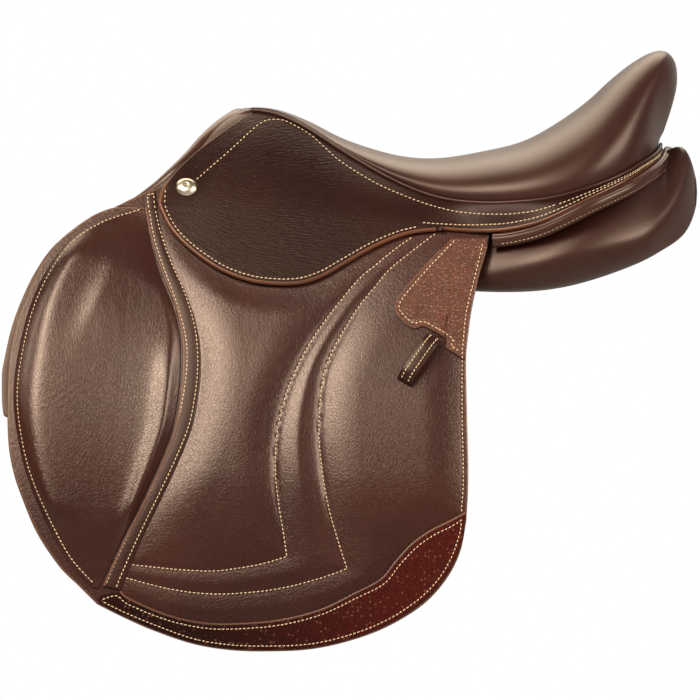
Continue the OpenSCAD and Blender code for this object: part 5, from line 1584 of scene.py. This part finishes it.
# %% Stitches of the skirt and the rear band
LOBE_STITCH = [[164.6, 204.4], [166.8, 210.8], [174, 224.8], [186, 238.6], [204.6, 253.6], [227, 267.2],
               [252.5, 275.9], [278, 278.9], [300.4, 277.9], [321, 271], [340, 260.2], [364, 246.4], [380, 238.4],
               [399.5, 230.8], [417, 226.6]]
lobe_rows = dropped_rows(surface(pieces["skirt_lobe_left"]), [LOBE_STITCH], SKIRT_STEP)
lobe_count = stitches("lobe_stitches_SIDE", "skirt_SIDE", lobe_rows, SKIRT_STEP)
YOKE_UPPER = [[195.5, 179.5], [213, 164], [230, 149], [246, 134], [258.5, 123], [269, 118.5], [283, 119],
              [296, 125], [310, 133.5], [324, 146], [341, 161], [373, 181], [400, 193.5], [431, 205], [462, 212],
              [502, 214], [533, 211], [556, 204.5]]
YOKE_FRONT = [[167.4, 179], [165, 190], [164.4, 203.4]]
yoke_surface = surface(pieces["yoke_leather_left"])


def tail_row(first, last, start, share):
    """Row of stitches along the tail, at a share of the way from the welt to the rolled edge."""
    k = np.linspace(first, last, 400)
    grid = yoke_net(k, np.linspace(0, 1, 81))
    at = (start + (share - start) * ease(k, first, first + 2.5)) * 80
    i, f = np.floor(at).astype(int), (at % 1)[:, None]
    each = np.arange(len(k))
    line = grid[each, i] * (1 - f) + grid[each, i + 1] * f
    slope = unit(np.cross(np.gradient(line, axis=0), grid[each, i + 2] - grid[each, i - 2]))
    slope = np.where((slope * (welt_out(yoke_welt(k)) + UP * 0.4)).sum(-1, keepdims=True) < 0, -slope, slope)
    both = stitch_points(np.concatenate([line, slope], -1), SKIRT_STEP)
    return both[:, :3], both[:, 3:]


yoke_rows = dropped_rows(yoke_surface, (YOKE_UPPER, YOKE_FRONT), SKIRT_STEP)
yoke_rows += [tail_row(13.7, 20.85, 0.46, 0.46), tail_row(8.35, 20.85, 0.93, 0.8)]
yoke_count = stitches("yoke_stitches_SIDE", "root", yoke_rows, SKIRT_STEP)
low_side = unit(band_out * 0.75 - UP * 0.55)
low_line = band_left + band_out * BAND_R * 0.53 - UP * BAND_R * 0.56
band_line = stitch_points(np.concatenate([low_line, low_side], -1)[3:-1], SKIRT_STEP)
band_count = stitches("band_stitches_SIDE", "root", [(band_line[:, :3], band_line[:, 3:])], SKIRT_STEP)
print("stitches: %d on a lobe, %d on a yoke, %d on half the band" % (lobe_count, yoke_count, band_count))

# %% [markdown]
# ## Saddle nail
# The nail head is a domed nickel button with a small plain hole in its middle. It is turned on a lathe on the real
# saddle, and here a half profile is spun round its axis in edit mode.

# %% Nail
NAIL_PROFILE = [(0.0, 2.9), (1.5, 2.9), (1.6, 4.25), (2.6, 4.5), (4.2, 4.35), (6.0, 3.8), (7.6, 2.9), (8.8, 1.8),
                (9.5, 0.8), (9.6, 0.3), (9.3, -0.2), (2.0, -0.2), (2.0, -8.0), (0.0, -8.0)]
NAIL_PROUD = 0.3
spots, slopes = drop(yoke_surface, [[185.9, 187]])
nail_spot, nail_normal = spots[0], unit(slopes[0])
mesh = bpy.data.meshes.new("saddle_nail_heads")
profile_edges = [(k, k + 1) for k in range(len(NAIL_PROFILE) - 1)]
mesh.from_pydata([(x / MM, 0, z / MM) for x, z in NAIL_PROFILE], profile_edges, [])
nail = new_object("saddle_nail_heads", mesh)
choose(nail)
bpy.ops.object.mode_set(mode="EDIT")
bpy.ops.mesh.select_all(action="SELECT")
bpy.ops.mesh.spin(steps=48, angle=2 * math.pi, center=(0, 0, 0), axis=(0, 0, 1))
bpy.ops.mesh.select_all(action="SELECT")
bpy.ops.mesh.remove_doubles(threshold=1e-5)
bpy.ops.mesh.normals_make_consistent(inside=False)
bpy.ops.object.mode_set(mode="OBJECT")
turn = Vector((0, 0, 1)).rotation_difference(Vector([float(c) for c in nail_normal])).to_matrix()
for vert in nail.data.vertices:
    vert.co = turn @ vert.co + Vector([float(c) / MM for c in nail_spot + nail_normal * NAIL_PROUD])
smooth_by_angle(nail, 40)
other = right_copy(nail, "nail_right")
choose(nail, other)
bpy.ops.object.join()
finish_piece(nail, "root", NAIL_METAL, ["saddle_nails"])

# %% [markdown]
# ## Studio
# A product picture of dark leather needs large soft lights. The key stands high in front, with two weaker ones beside
# it for the flap and the pommel. One behind the saddle draws the bright line along the seat, and one at the rear
# lights the panel and the band. Floor and world are white to the camera, and darker in what the leather mirrors.

# %% Camera and lights
camera_data = bpy.data.cameras.new("camera")
camera = new_object("camera", camera_data)
PICTURE, LENS, SENSOR, NEAR_PLANE = 700, 1200.0, 36.0, -0.16
away = PICTURE * PX_X / MM * LENS / SENSOR
camera_data.lens, camera_data.sensor_width = LENS, SENSOR
camera.location = (float(sx(PICTURE / 2)) / MM, NEAR_PLANE - away, float(sz(PICTURE / 2)) / MM)
camera.rotation_euler = (math.radians(90), 0, 0)
camera_data.clip_start, camera_data.clip_end = 1.0, 60.0
scene.camera = camera


def area_light(name, place, target, size, power, tint):
    """A softbox that the camera doesn't see."""
    data = bpy.data.lights.new(name, "AREA")
    data.shape = "RECTANGLE"
    data.size, data.size_y = size
    data.energy = power
    data.color = tint
    obj = new_object(name, data)
    obj.location = place
    obj.visible_camera = False
    obj.rotation_mode = "QUATERNION"
    obj.rotation_quaternion = (Vector(target) - Vector(place)).to_track_quat("-Z", "Y")


WARM, CREAM = (1.0, 0.88, 0.75), (1.0, 0.84, 0.64)
area_light("key softbox", (-0.85, -1.5, 1.5), (-0.08, -0.17, -0.1), (0.6, 1.1), 52, WARM)
area_light("front softbox", (-0.38, -1.85, 1.3), (-0.05, -0.17, -0.1), (0.8, 0.5), 11, WARM)
area_light("left softbox", (-1.9, -0.7, 1.5), (-0.15, -0.1, 0.1), (0.6, 0.9), 15, WARM)
area_light("back softbox", (-0.2, 1.05, 1.38), (0.05, 0.0, 0.1), (2.2, 1.25), 30, CREAM)
area_light("rear softbox", (1.7, -1.0, 0.9), (0.25, -0.1, 0.05), (1.6, 0.7), 47, WARM)
print("camera %.1f m away" % -camera.location.y)

# %% World
WHITE = (1.0, 1.0, 1.0, 1.0)
world = bpy.data.worlds.new("studio")
scene.world = world
world.use_nodes = True
wg = Graph(world.node_tree)
world.node_tree.nodes.clear()
rays = wg.add("ShaderNodeLightPath").outputs
clear_rays = wg.math("MAXIMUM", rays["Is Camera Ray"], rays["Is Transmission Ray"])
way = wg.add("ShaderNodeSeparateXYZ", {"Vector": wg.add("ShaderNodeTexCoord").outputs["Generated"]}).outputs[1]
mirrored = wg.math("MULTIPLY_ADD", wg.ramp(way, 0.3, 0.95), 0.65, 0.05)
level = wg.add("ShaderNodeMix", {0: rays["Is Glossy Ray"], 2: 0.26, 3: mirrored}, data_type="FLOAT").outputs[0]
level = wg.add("ShaderNodeMix", {0: clear_rays, 2: level, 3: 1.0}, data_type="FLOAT").outputs[0]
tint = wg.mix(clear_rays, (1.0, 0.92, 0.82, 1.0), WHITE)
sky = wg.add("ShaderNodeBackground", {"Color": tint, "Strength": level})
world.node_tree.links.new(sky.outputs[0], wg.add("ShaderNodeOutputWorld").inputs["Surface"])
print("world nodes:", len(world.node_tree.nodes))

# %% Floor
FLOOR_GAP = 0.06
bpy.ops.object.select_all(action="DESELECT")
bpy.ops.mesh.primitive_plane_add(size=30, location=(0, 0, cad_box[0][2] - FLOOR_GAP))
floor = bpy.context.object
floor.name = "floor"
floor_material = bpy.data.materials.new("pale floor")
floor_material.use_nodes = True
fg = Graph(floor_material.node_tree)
floor_material.node_tree.nodes.clear()
paint = fg.add("ShaderNodeBsdfPrincipled", {"Base Color": (0.8, 0.8, 0.8, 1.0), "Roughness": 0.9})
floor_rays = fg.add("ShaderNodeLightPath").outputs
seen = fg.math("MAXIMUM", floor_rays["Is Camera Ray"], floor_rays["Is Transmission Ray"])
glow = fg.add("ShaderNodeEmission", {"Color": fg.mix(seen, (0.45, 0.39, 0.33, 1.0), WHITE), "Strength": 1.0})
white_rays = fg.math("MAXIMUM", seen, floor_rays["Is Glossy Ray"])
floor_place = fg.add("ShaderNodeTexCoord").outputs["Object"]
distance = fg.add("ShaderNodeVectorMath", {0: floor_place}, operation="LENGTH").outputs["Value"]
share = fg.math("MULTIPLY_ADD", fg.ramp(distance, 0.25, 0.95), 0.35, 0.65)
glow_share = fg.math("MULTIPLY", white_rays, share)
floor_mix = fg.add("ShaderNodeMixShader", {0: glow_share, 1: paint.outputs[0], 2: glow.outputs[0]})
fg.add("ShaderNodeOutputMaterial", {"Surface": floor_mix.outputs[0]})
floor.data.materials.append(floor_material)
print("studio ready")

# %% Count of pieces
print("pieces:", len(pieces))
